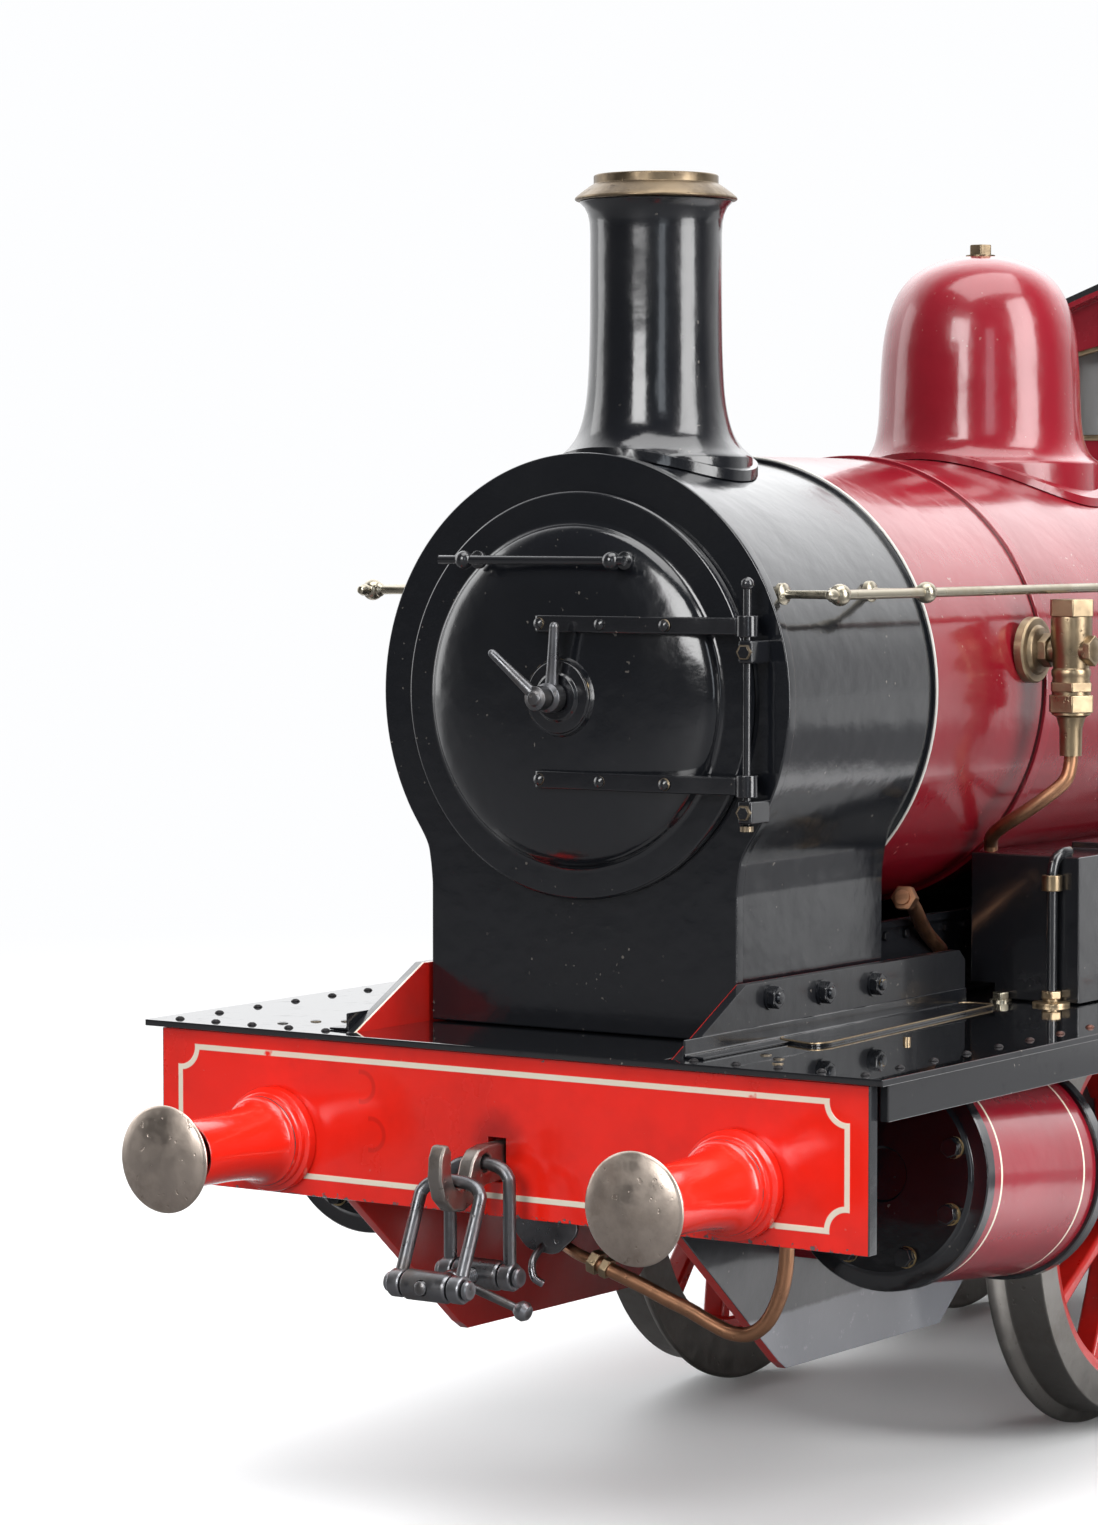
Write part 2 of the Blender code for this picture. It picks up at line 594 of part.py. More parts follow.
stock = [(0.020, -0.172), (0.0370, -0.172), (0.0390, -0.090), (0.0470, -0.036), (0.0560, -0.024)]
stock += [(0.0635, -0.012), (0.0635, -FIT), (0.0100, -FIT), (0.0100, -0.020), (0.020, -0.020)]
head = [(0, -0.046), (0.0185, -0.046), (0.0185, -0.204), (0.0625, -0.2085)]
head += [(0.0635, -0.2125), (0.0400, -0.2200), (0, -0.2230)]
for end, turn in (("front", 0), ("rear", math.pi)):
    for name, side in SIDES.items():
        middle = 0.0 if end == "front" else REAR_BEAM + 0.018
        matrix = Matrix.Translation((side * BUFFER_X, middle, BUFFER_Z))
        matrix = matrix @ Matrix.Rotation(turn, 4, "Z") @ Matrix.Rotation(-math.pi / 2, 4, "X")
        origin = (side * BUFFER_X, middle, BUFFER_Z)
        node(f"buffer_stock_{end}_{name}", turned(stock, matrix, 16, ring=True), SIGNAL_RED, origin)
        node(f"buffer_head_{end}_{name}", turned(head, matrix, 20), STEEL, origin)

hook = [(0.060, -0.102), (-0.030, -0.102), (-0.050, -0.106), (-0.062, -0.118), (-0.067, -0.132)]
hook += [(-0.075, -0.143), (-0.087, -0.147), (-0.098, -0.141), (-0.104, -0.126), (-0.104, -0.100)]
hook += [(-0.110, -0.092), (-0.118, -0.093), (-0.125, -0.106), (-0.127, -0.130), (-0.119, -0.155)]
hook += [(-0.102, -0.170), (-0.080, -0.173), (-0.056, -0.164), (-0.034, -0.147), (0.060, -0.143)]
front_hook = cut(
    slab(hook, "YZ", -0.0100, 0.0100),
    round_bar(along_x(0, LINK_Y, HOOK_Z), 0.0110, -0.1, 0.1, 10),
)
rear_hook = front_hook.copy()
rear_hook.transform(Matrix.Translation((0, REAR_BEAM + 0.018, 0)) @ Matrix.Rotation(math.pi, 4, "Z"))
node("drawhook_front", front_hook, DARK_STEEL, (0, 0, HOOK_Z), smooth=False)
node("drawhook_rear", rear_hook, DARK_STEEL, (0, REAR_BEAM + 0.018, HOOK_Z), smooth=False)

NUT_Z, REAR_NUT_Y, FRONT_NUT_Y, BOW_Y, BOW_Z = -0.252, -0.034, -0.136, -0.0868, -0.1370


def loop(top_y, top_z, low_y):
    """Half hoop whose bow is at the top and whose two eyes hold a nut's pins."""
    half = [(0.0, 0.0), (0.018, 0.012), (0.032, 0.040), (0.042, 0.110), (0.042, 0.200), (0.042, 0.800)]
    half = [(x, share * 0.8 if x < 0.042 else share) for x, share in half] + [(0.042, 1.0)]
    path = [(x, top_y + (low_y - top_y) * t, top_z + (NUT_Z - top_z) * t) for x, t in half]
    path = [(-x, y, z) for x, y, z in path[::-1]] + path[1:]
    eyes = [round_bar(along_x(side * 0.042, low_y, NUT_Z), 0.0165, -0.0085, 0.0085, 10) for side in (1, -1)]
    made = joined(rod_along(path, 0.0078), *eyes)
    return cut(made, round_bar(along_x(0, low_y, NUT_Z), 0.0085, -0.1, 0.1, 8))


def nut(y):
    made = joined(
        round_bar(along_x(0, y, NUT_Z), 0.0070, -0.0560, 0.0560, 8),
        round_bar(along_x(0, y, NUT_Z), 0.0175, -0.0310, 0.0310, 10),
    )
    return cut(made, round_bar(along_y(0, 0, NUT_Z), 0.0095, -0.3, 0.1, 8))


coupling_at = (0, LINK_Y, HOOK_Z)
node("coupling_link", loop(LINK_Y, HOOK_Z, REAR_NUT_Y), DARK_STEEL, coupling_at)
node("coupling_nut_rear", nut(REAR_NUT_Y), DARK_STEEL, coupling_at)
node("coupling_nut_front", nut(FRONT_NUT_Y), DARK_STEEL, coupling_at)
node("coupling_shackle", loop(BOW_Y, BOW_Z, FRONT_NUT_Y), DARK_STEEL, coupling_at)
screw = joined(
    round_bar(along_y(0, 0, NUT_Z), 0.0080, -0.1580, -0.0120, 8),
    round_bar(along_y(0, 0, NUT_Z), 0.0125, -0.0940, -0.0760, 10),
    rod_along([(0, -0.085, NUT_Z), (0.092, -0.085, NUT_Z - 0.026)], 0.0052),
    ball(0.096, -0.085, NUT_Z - 0.027, 0.0120),
)
node("coupling_screw", screw, DARK_STEEL, (0, -0.085, NUT_Z))

# ---- cylinders and guides ----

crank_way = {  # where the crank pins point at rest: down on the left, forward along the drive on the right
    "left": (math.sin(SLOPE), -math.cos(SLOPE)),
    "right": (-math.cos(SLOPE), -math.sin(SLOPE)),
}
crosshead_at = {
    "left": DRIVE_LENGTH - math.sqrt(MAIN_ROD_LENGTH**2 - CRANK_THROW**2),
    "right": DRIVE_LENGTH - CRANK_THROW - MAIN_ROD_LENGTH,
}


def cylinder(side):
    matrix = drive_matrix(CYLINDER_X)
    outside = [(0, 0.0), (0.118, 0.0), (0.120, 0.006), (0.137, 0.007), (0.137, 0.026), (0.1315, 0.027)]
    outside += [(0.1315, 0.292), (0.137, 0.293), (0.137, 0.316), (0.034, 0.321), (0.032, 0.352), (0, 0.352)]
    made = joined(
        turned(outside, matrix, 20),
        drive_block(FRAME_OUTER + FIT, CYLINDER_X, 0.035, 0.285, -0.110, 0.105),
    )
    made = cut(
        made,
        round_bar(matrix, 0.070, 0.030, 0.290, 12),
        round_bar(matrix, 0.0135, 0.200, 0.400, 8),
        block(0.1, FRAME_OUTER + FIT, 0, 1, -1, 1),
    )
    return made if side > 0 else mirrored(made)


def guide(side):
    x0, x1 = 0.3610, 0.3850
    made = cut(
        drive_block(x0, x1, 0.360, 0.936, -0.0520, 0.0520),
        drive_block(0.3, 0.4, 0.363, 0.923, -0.0400, 0.0400),
    )
    hanger = [(1.1700, -0.0005), (1.1660, -0.2150), (1.1730, -0.2150), (1.1800, -0.0005)]
    made = joined(
        made,
        drive_block(x0 - 0.008, x1 + 0.008, 0.3535, 0.3650, -0.0540, 0.0540),
        slab(hanger, "YZ", x0 + 0.002, x1 - 0.002),
    )
    made = cut(made, round_bar(drive_matrix(CYLINDER_X), 0.0135, 0.300, 0.420, 10))
    return made if side > 0 else mirrored(made)


def crosshead(name, side):
    """Piston, piston rod, slipper and gudgeon pin."""
    at = crosshead_at[name]
    piston = at - (crosshead_at["right"] + CRANK_THROW) + 0.160
    matrix = drive_matrix(CYLINDER_X)
    pin = along_drive(0, at)
    made = joined(
        round_bar(matrix, 0.0685, piston - 0.014, piston + 0.014, 12),
        round_bar(matrix, 0.0120, piston, at, 10),
        drive_block(0.3625, 0.3835, at - 0.038, at + 0.038, -0.0385, 0.0385),
        round_bar(along_x(0, pin.y, pin.z), 0.0090, 0.370, 0.4010, 8),
        round_bar(along_x(0, pin.y, pin.z), 0.0145, 0.4000, 0.4050, 6),
    )
    return made if side > 0 else mirrored(made)


def connecting_rod(name, side):
    at = along_drive(0, crosshead_at[name])
    way = crank_way[name]
    end = Vector((0, AXLES[1] + CRANK_THROW * way[0], AXLE_Z + CRANK_THROW * way[1]))
    line = (end - at).normalized()
    square = Vector((0, -line.z, line.y))
    corners = [at + square * 0.0125, end + square * 0.0180, end - square * 0.0180, at - square * 0.0125]
    made = joined(
        slab([(p.y, p.z) for p in corners], "YZ", MAIN_ROD[0] + 0.002, MAIN_ROD[1] - 0.002),
        round_bar(along_x(0, at.y, at.z), 0.0220, *MAIN_ROD, 14),
        round_bar(along_x(0, end.y, end.z), 0.0320, *MAIN_ROD, 16),
        round_bar(along_x(0, end.y, end.z), 0.0175, MAIN_ROD[0], MAIN_ROD[1] + 0.006, 12),
    )
    made = cut(made, round_bar(along_x(0, at.y, at.z), 0.0105, 0.3, 0.5, 8))
    return made if side > 0 else mirrored(made)


def coupling_rod(name, side):
    way = crank_way[name]
    dy, dz = CRANK_THROW * way[0], CRANK_THROW * way[1]
    low, high = SIDE_ROD
    pieces = [
        block(low + 0.001, high - 0.001, AXLES[0] + dy, AXLES[2] + dy, AXLE_Z + dz - 0.0140, AXLE_Z + dz + 0.0140)
    ]
    pieces += [round_bar(along_x(0, y + dy, AXLE_Z + dz), 0.0290, low, high, 12) for y in AXLES]
    holes = [round_bar(along_x(0, y + dy, AXLE_Z + dz), PIN_RADIUS + FIT, 0.3, 0.5, 8) for y in AXLES]
    made = cut(joined(*pieces), *holes)
    return made if side > 0 else mirrored(made)


for name, side in SIDES.items():
    pin = along_drive(side * CYLINDER_X, crosshead_at[name])
    way = crank_way[name]
    crank_end = (side * SIDE_ROD[0], AXLES[1] + CRANK_THROW * way[0], AXLE_Z + CRANK_THROW * way[1])
    node(f"cylinder_{name}", cylinder(side), LAKE)
    node(f"guide_bars_{name}", guide(side), STEEL, smooth=False)
    node(f"crosshead_{name}", crosshead(name, side), STEEL, pin)
    node(f"connecting_rod_{name}", connecting_rod(name, side), STEEL, (side * MAIN_ROD[0], pin.y, pin.z))
    node(f"coupling_rod_{name}", coupling_rod(name, side), STEEL, crank_end)

# ---- wheels and axles ----


def wheel(y, name, side, driven):
    matrix = along_x(0, y, AXLE_Z)
    rim = [(0.233, WHEEL_BACK), (0.291, WHEEL_BACK), (FLANGE_RADIUS, 0.269), (0.2785, 0.281)]
    rim += [(TREAD_RADIUS, WHEEL_FACE), (0.233, WHEEL_FACE)]
    way = crank_way[name]
    turn = math.atan2(way[1], way[0])
    pieces = [turned(rim, matrix, 24, ring=True), round_bar(matrix, 0.060, WHEEL_BACK, 0.338, 12)]
    for k in range(10):
        a = turn + math.tau * (k + 0.5) / 10
        out, across = (math.cos(a), math.sin(a)), (-math.sin(a), math.cos(a))
        corners = [
            (y + out[0] * r + across[0] * w, AXLE_Z + out[1] * r + across[1] * w)
            for r, w in ((0.050, -0.0110), (0.242, -0.0070), (0.242, 0.0070), (0.050, 0.0110))
        ]
        pieces.append(slab(corners, "YZ", 0.286, 0.322))
    pin_y, pin_z = y + CRANK_THROW * way[0], AXLE_Z + CRANK_THROW * way[1]
    reach = 0.3830 if driven else 0.3570
    pin = along_x(0, pin_y, pin_z)
    pieces.append(round_bar(pin, 0.034, 0.284, 0.338, 8))
    ends = [((0, 0), 0.046), ((1, 0), 0.030)]
    web = []
    for (share, _), half in ends:
        for sign in (1, -1):
            web.append(
                (
                    y + share * CRANK_THROW * way[0] - sign * half * way[1],
                    AXLE_Z + share * CRANK_THROW * way[1] + sign * half * way[0],
                )
            )
    pieces.append(slab([web[0], web[1], web[3], web[2]], "YZ", 0.284, 0.337))
    pieces.append(round_bar(pin, PIN_RADIUS, 0.330, reach, 8))
    if not driven:
        pieces.append(round_bar(pin, 0.0190, SIDE_ROD[1] + FIT, reach + 0.001, 8))
    made = cut(joined(*pieces), round_bar(matrix, AXLE_RADIUS + FIT, 0.2, 0.4, 12))
    return made if side > 0 else mirrored(made)


for label, y in zip(("front", "middle", "rear"), AXLES):
    origin = (0, y, AXLE_Z)
    node(f"axle_{label}", round_bar(along_x(0, y, AXLE_Z), AXLE_RADIUS, -0.336, 0.336, 16), STEEL, origin)
    for name, side in SIDES.items():
        made = wheel(y, name, side, label == "middle")
        node(f"wheel_{label}_{name}", made, WHEEL_RED, (side * WHEEL_BACK, y, AXLE_Z))
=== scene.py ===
# %% [markdown]
# # A model steam locomotive
# This lesson dresses a ready-made frame: the solids that give the engine its sizes, joints and weight. We
# build its looks around them. The frame never moves. Each new piece rides on one of its bodies, and a piece
# with a finer shape than a solid stands in its place.

# %% Load the frame
import math

import bpy
from mathutils import Matrix, Vector


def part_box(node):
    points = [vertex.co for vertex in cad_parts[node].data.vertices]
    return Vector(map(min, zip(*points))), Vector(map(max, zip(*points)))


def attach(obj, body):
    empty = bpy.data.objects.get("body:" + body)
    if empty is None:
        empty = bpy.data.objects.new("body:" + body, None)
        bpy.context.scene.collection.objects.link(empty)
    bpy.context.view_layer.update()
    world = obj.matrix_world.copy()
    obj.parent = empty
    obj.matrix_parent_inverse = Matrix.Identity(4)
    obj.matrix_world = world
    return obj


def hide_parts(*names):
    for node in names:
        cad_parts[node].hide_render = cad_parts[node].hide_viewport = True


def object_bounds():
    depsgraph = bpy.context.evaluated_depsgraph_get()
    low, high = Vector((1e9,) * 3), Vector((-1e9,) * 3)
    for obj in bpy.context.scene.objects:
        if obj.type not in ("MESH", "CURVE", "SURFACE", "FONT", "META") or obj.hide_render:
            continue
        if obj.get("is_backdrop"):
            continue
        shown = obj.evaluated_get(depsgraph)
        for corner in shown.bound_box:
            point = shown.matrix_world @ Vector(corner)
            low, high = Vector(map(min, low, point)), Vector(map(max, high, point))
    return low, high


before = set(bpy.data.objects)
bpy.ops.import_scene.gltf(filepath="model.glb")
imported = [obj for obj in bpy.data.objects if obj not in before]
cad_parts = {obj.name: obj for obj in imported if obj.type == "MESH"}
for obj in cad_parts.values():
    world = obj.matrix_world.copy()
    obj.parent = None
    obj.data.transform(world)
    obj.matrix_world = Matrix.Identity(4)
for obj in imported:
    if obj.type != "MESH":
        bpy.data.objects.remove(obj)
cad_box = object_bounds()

# %% [markdown]
# A drawing of an engine is easiest to read from one datum. Ours is the front buffer beam: its width is the
# unit of length, its front face is y = 0 and its top edge is z = 0. We read that datum from the frame, so the
# looks follow the solids at any size.

# %% The drawing's unit and datum
low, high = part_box("beam_front")
UNIT = high.x - low.x
DATUM = Vector((0, low.y, high.z + 0.0005 * UNIT))
PLACE = Matrix.Translation(DATUM) @ Matrix.Scale(UNIT, 4)
SIDES = {"left": 1, "right": -1}


def read(node):
    """A solid's two corners, in drawing lengths."""
    a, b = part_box(node)
    return (a - DATUM) / UNIT, (b - DATUM) / UNIT


print("one unit is", round(UNIT * 1000), "mm")

# %% [markdown]
# The camera comes first, because everything else is judged through it. It is a long lens, low and to the
# engine's left, so the front beam fills the foreground and the boiler runs away to the right.

# %% Camera
FOCAL_LENGTH, AZIMUTH, ELEVATION = 102.3, 33.977, 3.226
STAND = (2.86003, -4.13447, 0.62478)
lens = bpy.data.cameras.new("camera")
lens.lens, lens.sensor_width = FOCAL_LENGTH, 36
camera = bpy.data.objects.new("camera", lens)
bpy.context.scene.collection.objects.link(camera)
turn, tilt = math.radians(AZIMUTH), math.radians(ELEVATION)
back = Vector((math.sin(turn) * math.cos(tilt), -math.cos(turn) * math.cos(tilt), math.sin(tilt)))
across = Vector((math.cos(turn), math.sin(turn), 0))
upward = back.cross(across)
camera.matrix_world = Matrix((across, upward, back)).transposed().to_4x4()
camera.matrix_world.translation = PLACE @ Vector(STAND)
bpy.context.scene.camera = camera
print("camera stands", round((camera.matrix_world.translation - DATUM).length, 2), "m from the beam")

# %% [markdown]
# The same few moves make most of an engine. A fitter turns round things on a lathe, cuts plates from sheet
# and bends rod. So we need three helpers: one draws an outline point by point by extruding a single corner,
# one spins an outline about an axis, and one thickens an outline into a plate. All work in drawing units.


# %% Selecting and sketching
def alone():
    """Leaves object mode active with nothing selected."""
    if bpy.context.mode != "OBJECT":
        bpy.ops.object.mode_set(mode="OBJECT")
    bpy.ops.object.select_all(action="DESELECT")


def take(piece):
    alone()
    piece.select_set(True)
    bpy.context.view_layer.objects.active = piece
    return piece


def sketch(points):
    """A chain of edges through the points, left open in edit mode with all of it selected."""
    alone()
    bpy.ops.mesh.primitive_plane_add(size=0.1)
    bpy.ops.object.mode_set(mode="EDIT")
    bpy.ops.mesh.select_all(action="SELECT")
    bpy.ops.mesh.merge(type="CENTER")
    here = Vector(points[0])
    bpy.ops.transform.translate(value=here)
    for point in points[1:]:
        step = Vector(point) - here
        bpy.ops.mesh.extrude_region_move(TRANSFORM_OT_translate={"value": step})
        here = Vector(point)
    bpy.ops.mesh.select_all(action="SELECT")
    return bpy.context.active_object


def shade(piece, angle=35):
    take(piece)
    bpy.ops.object.shade_smooth_by_angle(angle=math.radians(angle))
    return piece


def bevelled(piece, width, segments=2, angle=35):
    take(piece)
    edge = piece.modifiers.new("edge", "BEVEL")
    edge.width, edge.segments = width, segments
    edge.limit_method, edge.angle_limit = "ANGLE", math.radians(angle)
    bpy.ops.object.modifier_apply(modifier=edge.name)
    return shade(piece, 40)


def cut(piece, *cutters, how="DIFFERENCE"):
    for cutter in cutters:
        take(piece)
        change = piece.modifiers.new("cut", "BOOLEAN")
        change.object, change.operation, change.solver = cutter, how, "EXACT"
        bpy.ops.object.modifier_apply(modifier=change.name)
        bpy.data.objects.remove(cutter, do_unlink=True)
    return piece


def place(piece, matrix):
    piece.data.transform(matrix)
    if matrix.determinant() < 0:
        take(piece)
        bpy.ops.object.mode_set(mode="EDIT")
        bpy.ops.mesh.select_all(action="SELECT")
        bpy.ops.mesh.normals_make_consistent(inside=False)
        bpy.ops.object.mode_set(mode="OBJECT")
    return piece


print("selecting, sketching, bevelling and cutting are ready")

# %% [markdown]
# Next come the workshop's own tools. Outlines are written as rows of whole numbers, in ten-thousandths of the
# drawing unit: `pairs` takes two to a point and `triples` three. The lathe spins an outline, sheet is an
# outline with a thickness, and rod is a line of points with a radius.

# %% Lathe, sheet and rod
GRADES = 10000
MERGE = 0.00002


def pairs(*numbers):
    """Points with two coordinates, such as an outline."""
    return [(a / GRADES, b / GRADES) for a, b in zip(numbers[::2], numbers[1::2])]


def triples(*numbers):
    """Points with three coordinates, such as the line of a pipe."""
    return [tuple(n / GRADES for n in numbers[i : i + 3]) for i in range(0, len(numbers), 3)]


def rounded(points, radius, steps=3, ends=False):
    """Replaces each inner corner of a flat outline with a small arc."""
    out = []
    count = len(points)
    for i, point in enumerate(points):
        if not ends and i in (0, count - 1):
            out.append(point)
            continue
        here, before, after = Vector(point), Vector(points[i - 1]), Vector(points[(i + 1) % count])
        reach = min(radius, (before - here).length * 0.45, (after - here).length * 0.45)
        start = here + (before - here).normalized() * reach
        end = here + (after - here).normalized() * reach
        for k in range(steps + 1):
            t = k / steps
            out.append(tuple(start * (1 - t) ** 2 + here * 2 * t * (1 - t) + end * t * t))
    return out


def spun(profile, matrix=Matrix(), steps=64, soft=0.0, closed=False):
    """Turns (radius, height) points about Z, like work in a lathe, then places it."""
    if soft:
        profile = rounded(profile, soft, ends=closed)
    if closed:
        profile = list(profile) + [profile[0]]
    piece = sketch([(r, 0, h) for r, h in profile])
    bpy.ops.mesh.spin(steps=steps, angle=math.tau, center=(0, 0, 0), axis=(0, 0, 1))
    bpy.ops.mesh.select_all(action="SELECT")
    bpy.ops.mesh.remove_doubles(threshold=MERGE)
    bpy.ops.mesh.normals_make_consistent(inside=False)
    bpy.ops.object.mode_set(mode="OBJECT")
    piece.data.transform(matrix)
    return shade(piece)


AXES = {"YZ": (1, 2, 0), "XZ": (0, 2, 1), "XY": (0, 1, 2)}


def plate(outline, plane, start, end, edge=0.0015, segments=2):
    """Sheet cut to an outline: plane names the outline's two axes, and it is thick along the third."""
    first, second, third = AXES[plane]
    points = []
    for a, b in outline:
        point = [0, 0, 0]
        point[first], point[second], point[third] = a, b, start
        points.append(point)
    piece = sketch(points)
    bpy.ops.mesh.edge_face_add()
    push = [0, 0, 0]
    push[third] = end - start
    bpy.ops.mesh.select_all(action="SELECT")
    bpy.ops.mesh.extrude_region_move(TRANSFORM_OT_translate={"value": push})
    bpy.ops.mesh.select_all(action="SELECT")
    bpy.ops.mesh.normals_make_consistent(inside=False)
    bpy.ops.object.mode_set(mode="OBJECT")
    return bevelled(piece, edge, segments) if edge else piece


def block(x0, x1, y0, y1, z0, z1, edge=0.0015, segments=2):
    alone()
    middle = ((x0 + x1) / 2, (y0 + y1) / 2, (z0 + z1) / 2)
    bpy.ops.mesh.primitive_cube_add(size=1, location=middle, scale=(x1 - x0, y1 - y0, z1 - z0))
    piece = bpy.context.active_object
    bpy.ops.object.transform_apply(location=True, rotation=True, scale=True)
    return bevelled(piece, edge, segments) if edge else piece


def rod(points, radius, sides=4, closed=False, caps=True):
    """Round bar along a chain of points."""
    piece = sketch(points)
    if closed:
        bpy.ops.mesh.select_all(action="SELECT")
        bpy.ops.mesh.remove_doubles(threshold=MERGE)
    bpy.ops.object.mode_set(mode="OBJECT")
    take(piece)
    bpy.ops.object.convert(target="CURVE")
    curve = bpy.context.active_object
    curve.data.bevel_depth = radius
    curve.data.bevel_resolution = sides
    curve.data.use_fill_caps = caps and not closed
    bpy.ops.object.convert(target="MESH")
    piece = bpy.context.active_object
    bpy.ops.object.mode_set(mode="EDIT")
    bpy.ops.mesh.select_all(action="SELECT")
    bpy.ops.mesh.remove_doubles(threshold=MERGE)
    bpy.ops.mesh.normals_make_consistent(inside=False)
    bpy.ops.object.mode_set(mode="OBJECT")
    return shade(piece)


def ball(x, y, z, radius, segments=24):
    alone()
    bpy.ops.mesh.primitive_uv_sphere_add(
        segments=segments, ring_count=segments // 2, radius=radius, location=(x, y, z)
    )
    piece = bpy.context.active_object
    bpy.ops.object.transform_apply(location=True, rotation=True, scale=True)
    return shade(piece, 60)


def flowing(points, steps=6):
    """A smooth run of points through the given ones."""
    knots = [Vector(p) for p in points]
    knots = [knots[0] * 2 - knots[1]] + knots + [knots[-1] * 2 - knots[-2]]
    out = []
    for a, b, c, d in zip(knots, knots[1:], knots[2:], knots[3:]):
        for k in range(steps):
            t = k / steps
            square, cube = 2 * a - 5 * b + 4 * c - d, 3 * b - a - 3 * c + d
            out.append(tuple(0.5 * (2 * b + (c - a) * t + square * t**2 + cube * t**3)))
    return out + [tuple(knots[-2])]


def arc(cx, cy, radius, start, end, count):
    turns = (math.radians(start + (end - start) * k / (count - 1)) for k in range(count))
    return [(cx + radius * math.cos(a), cy + radius * math.sin(a)) for a in turns]


def facing(x, y, z, way="Y"):
    """Places a lathe piece so that its height runs along the named axis."""
    turns = {
        "Z": Matrix(),
        "Y": Matrix.Rotation(-math.pi / 2, 4, "X"),
        "-Y": Matrix.Rotation(math.pi / 2, 4, "X"),
        "X": Matrix.Rotation(math.pi / 2, 4, "Y"),
        "-X": Matrix.Rotation(-math.pi / 2, 4, "Y"),
        "-Z": Matrix.Rotation(math.pi, 4, "X"),
    }
    return Matrix.Translation((x, y, z)) @ turns[way]


def joined(pieces):
    alone()
    for piece in pieces:
        piece.select_set(True)
    bpy.context.view_layer.objects.active = pieces[0]
    if len(pieces) > 1:
        bpy.ops.object.join()
    return bpy.context.active_object


def spread(master, matrices):
    """Copies of one small piece, joined into one."""
    out = []
    for matrix in matrices:
        copy = master.copy()
        copy.data = master.data.copy()
        copy.data.transform(matrix)
        bpy.context.scene.collection.objects.link(copy)
        out.append(copy)
    bpy.data.objects.remove(master, do_unlink=True)
    return joined(out)


MIRROR = Matrix.Scale(-1, 4, (1, 0, 0))
made = []


def fit(piece, name, body, finish, slot, *stands_for):
    """Names a piece, brings it to real size, gives it its finish and fixes it to its body."""
    alone()
    piece.name = piece.data.name = name
    piece.data.transform(PLACE)
    piece.data.materials.clear()
    piece.data.materials.append(finish)
    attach(piece, body)
    if stands_for:
        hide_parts(*stands_for)
    made.append(name)
    return piece


print("tools ready")

# %% [markdown]
# The studio is a white sweep with soft boxes. Gloss paint shows the room more than itself, so the room is the
# first thing to get right: bright behind the engine, dim behind the camera, and soft boxes only where the
# highlights should fall. Black paint turns grey as soon as it faces a white wall.

# %% Shader sockets that do sums
NODE_NAMES = {
    "noise": "ShaderNodeTexNoise",
    "range": "ShaderNodeMapRange",
    "bump": "ShaderNodeBump",
    "mapping": "ShaderNodeMapping",
    "math": "ShaderNodeMath",
    "vector": "ShaderNodeVectorMath",
}


class Socket:
    """An output socket. Sums on it add Math nodes."""

    def __init__(self, paint, output):
        self.paint, self.output = paint, output

    def calc(self, operation, *others):
        return self.paint.node("math", {"operation": operation}, (self, *others))

    def __add__(self, other):
        return self.calc("ADD", other)

    def __sub__(self, other):
        return self.calc("SUBTRACT", other)

    def __mul__(self, other):
        return self.calc("MULTIPLY", other)

    def __pow__(self, other):
        return self.calc("POWER", other)

    def __rsub__(self, other):
        return self.paint.node("math", {"operation": "SUBTRACT"}, (other, self))

    def __gt__(self, other):
        return self.calc("GREATER_THAN", other)

    def __lt__(self, other):
        return self.calc("LESS_THAN", other)

    __radd__, __rmul__ = __add__, __mul__


class Paint:
    """A node tree, with one method that adds a node."""

    def __init__(self, tree):
        self.tree = tree
        tree.nodes.clear()

    def node(self, kind, settings=None, inputs=(), output=0):
        node = self.tree.nodes.new(NODE_NAMES.get(kind, kind))
        for name, value in (settings or {}).items():
            setattr(node, name, value)
        pairs = inputs.items() if isinstance(inputs, dict) else enumerate(inputs)
        for key, value in pairs:
            if isinstance(value, Socket):
                self.tree.links.new(value.output, node.inputs[key])
            elif value is not None:
                node.inputs[key].default_value = value
        return Socket(self, node.outputs[output]) if node.outputs else None

    def step(self, value, low, high, start=0.0, end=1.0):
        """Rises smoothly from start to end as the value goes from low to high."""
        return self.node("range", {"interpolation_type": "SMOOTHSTEP"}, (value, low, high, start, end))

    def mix(self, factor, first, second):
        """Blends two colours."""
        inputs = {0: factor, 6: colour(first), 7: colour(second)}
        return self.node("ShaderNodeMix", {"data_type": "RGBA", "clamp_factor": True}, inputs, 2)

    def grain(self, scale, detail=3.0, rough=0.55, where=None):
        """Noise whose scale is counted in lumps per drawing unit."""
        inputs = {"Vector": where or self.here, "Scale": scale, "Detail": detail, "Roughness": rough}
        return self.node("noise", {}, inputs)


def colour(value):
    return value if isinstance(value, Socket) else (*value, 1)


print("sockets can add, subtract, multiply and compare")

# %% [markdown]
# The room is sums on the direction a ray leaves in. The camera sees plain white, but paint and metal see a
# room that is bright on one side only. The floor does the same: white to the camera, and to the paint a dim
# sheet with a lit strip on each side of the engine.

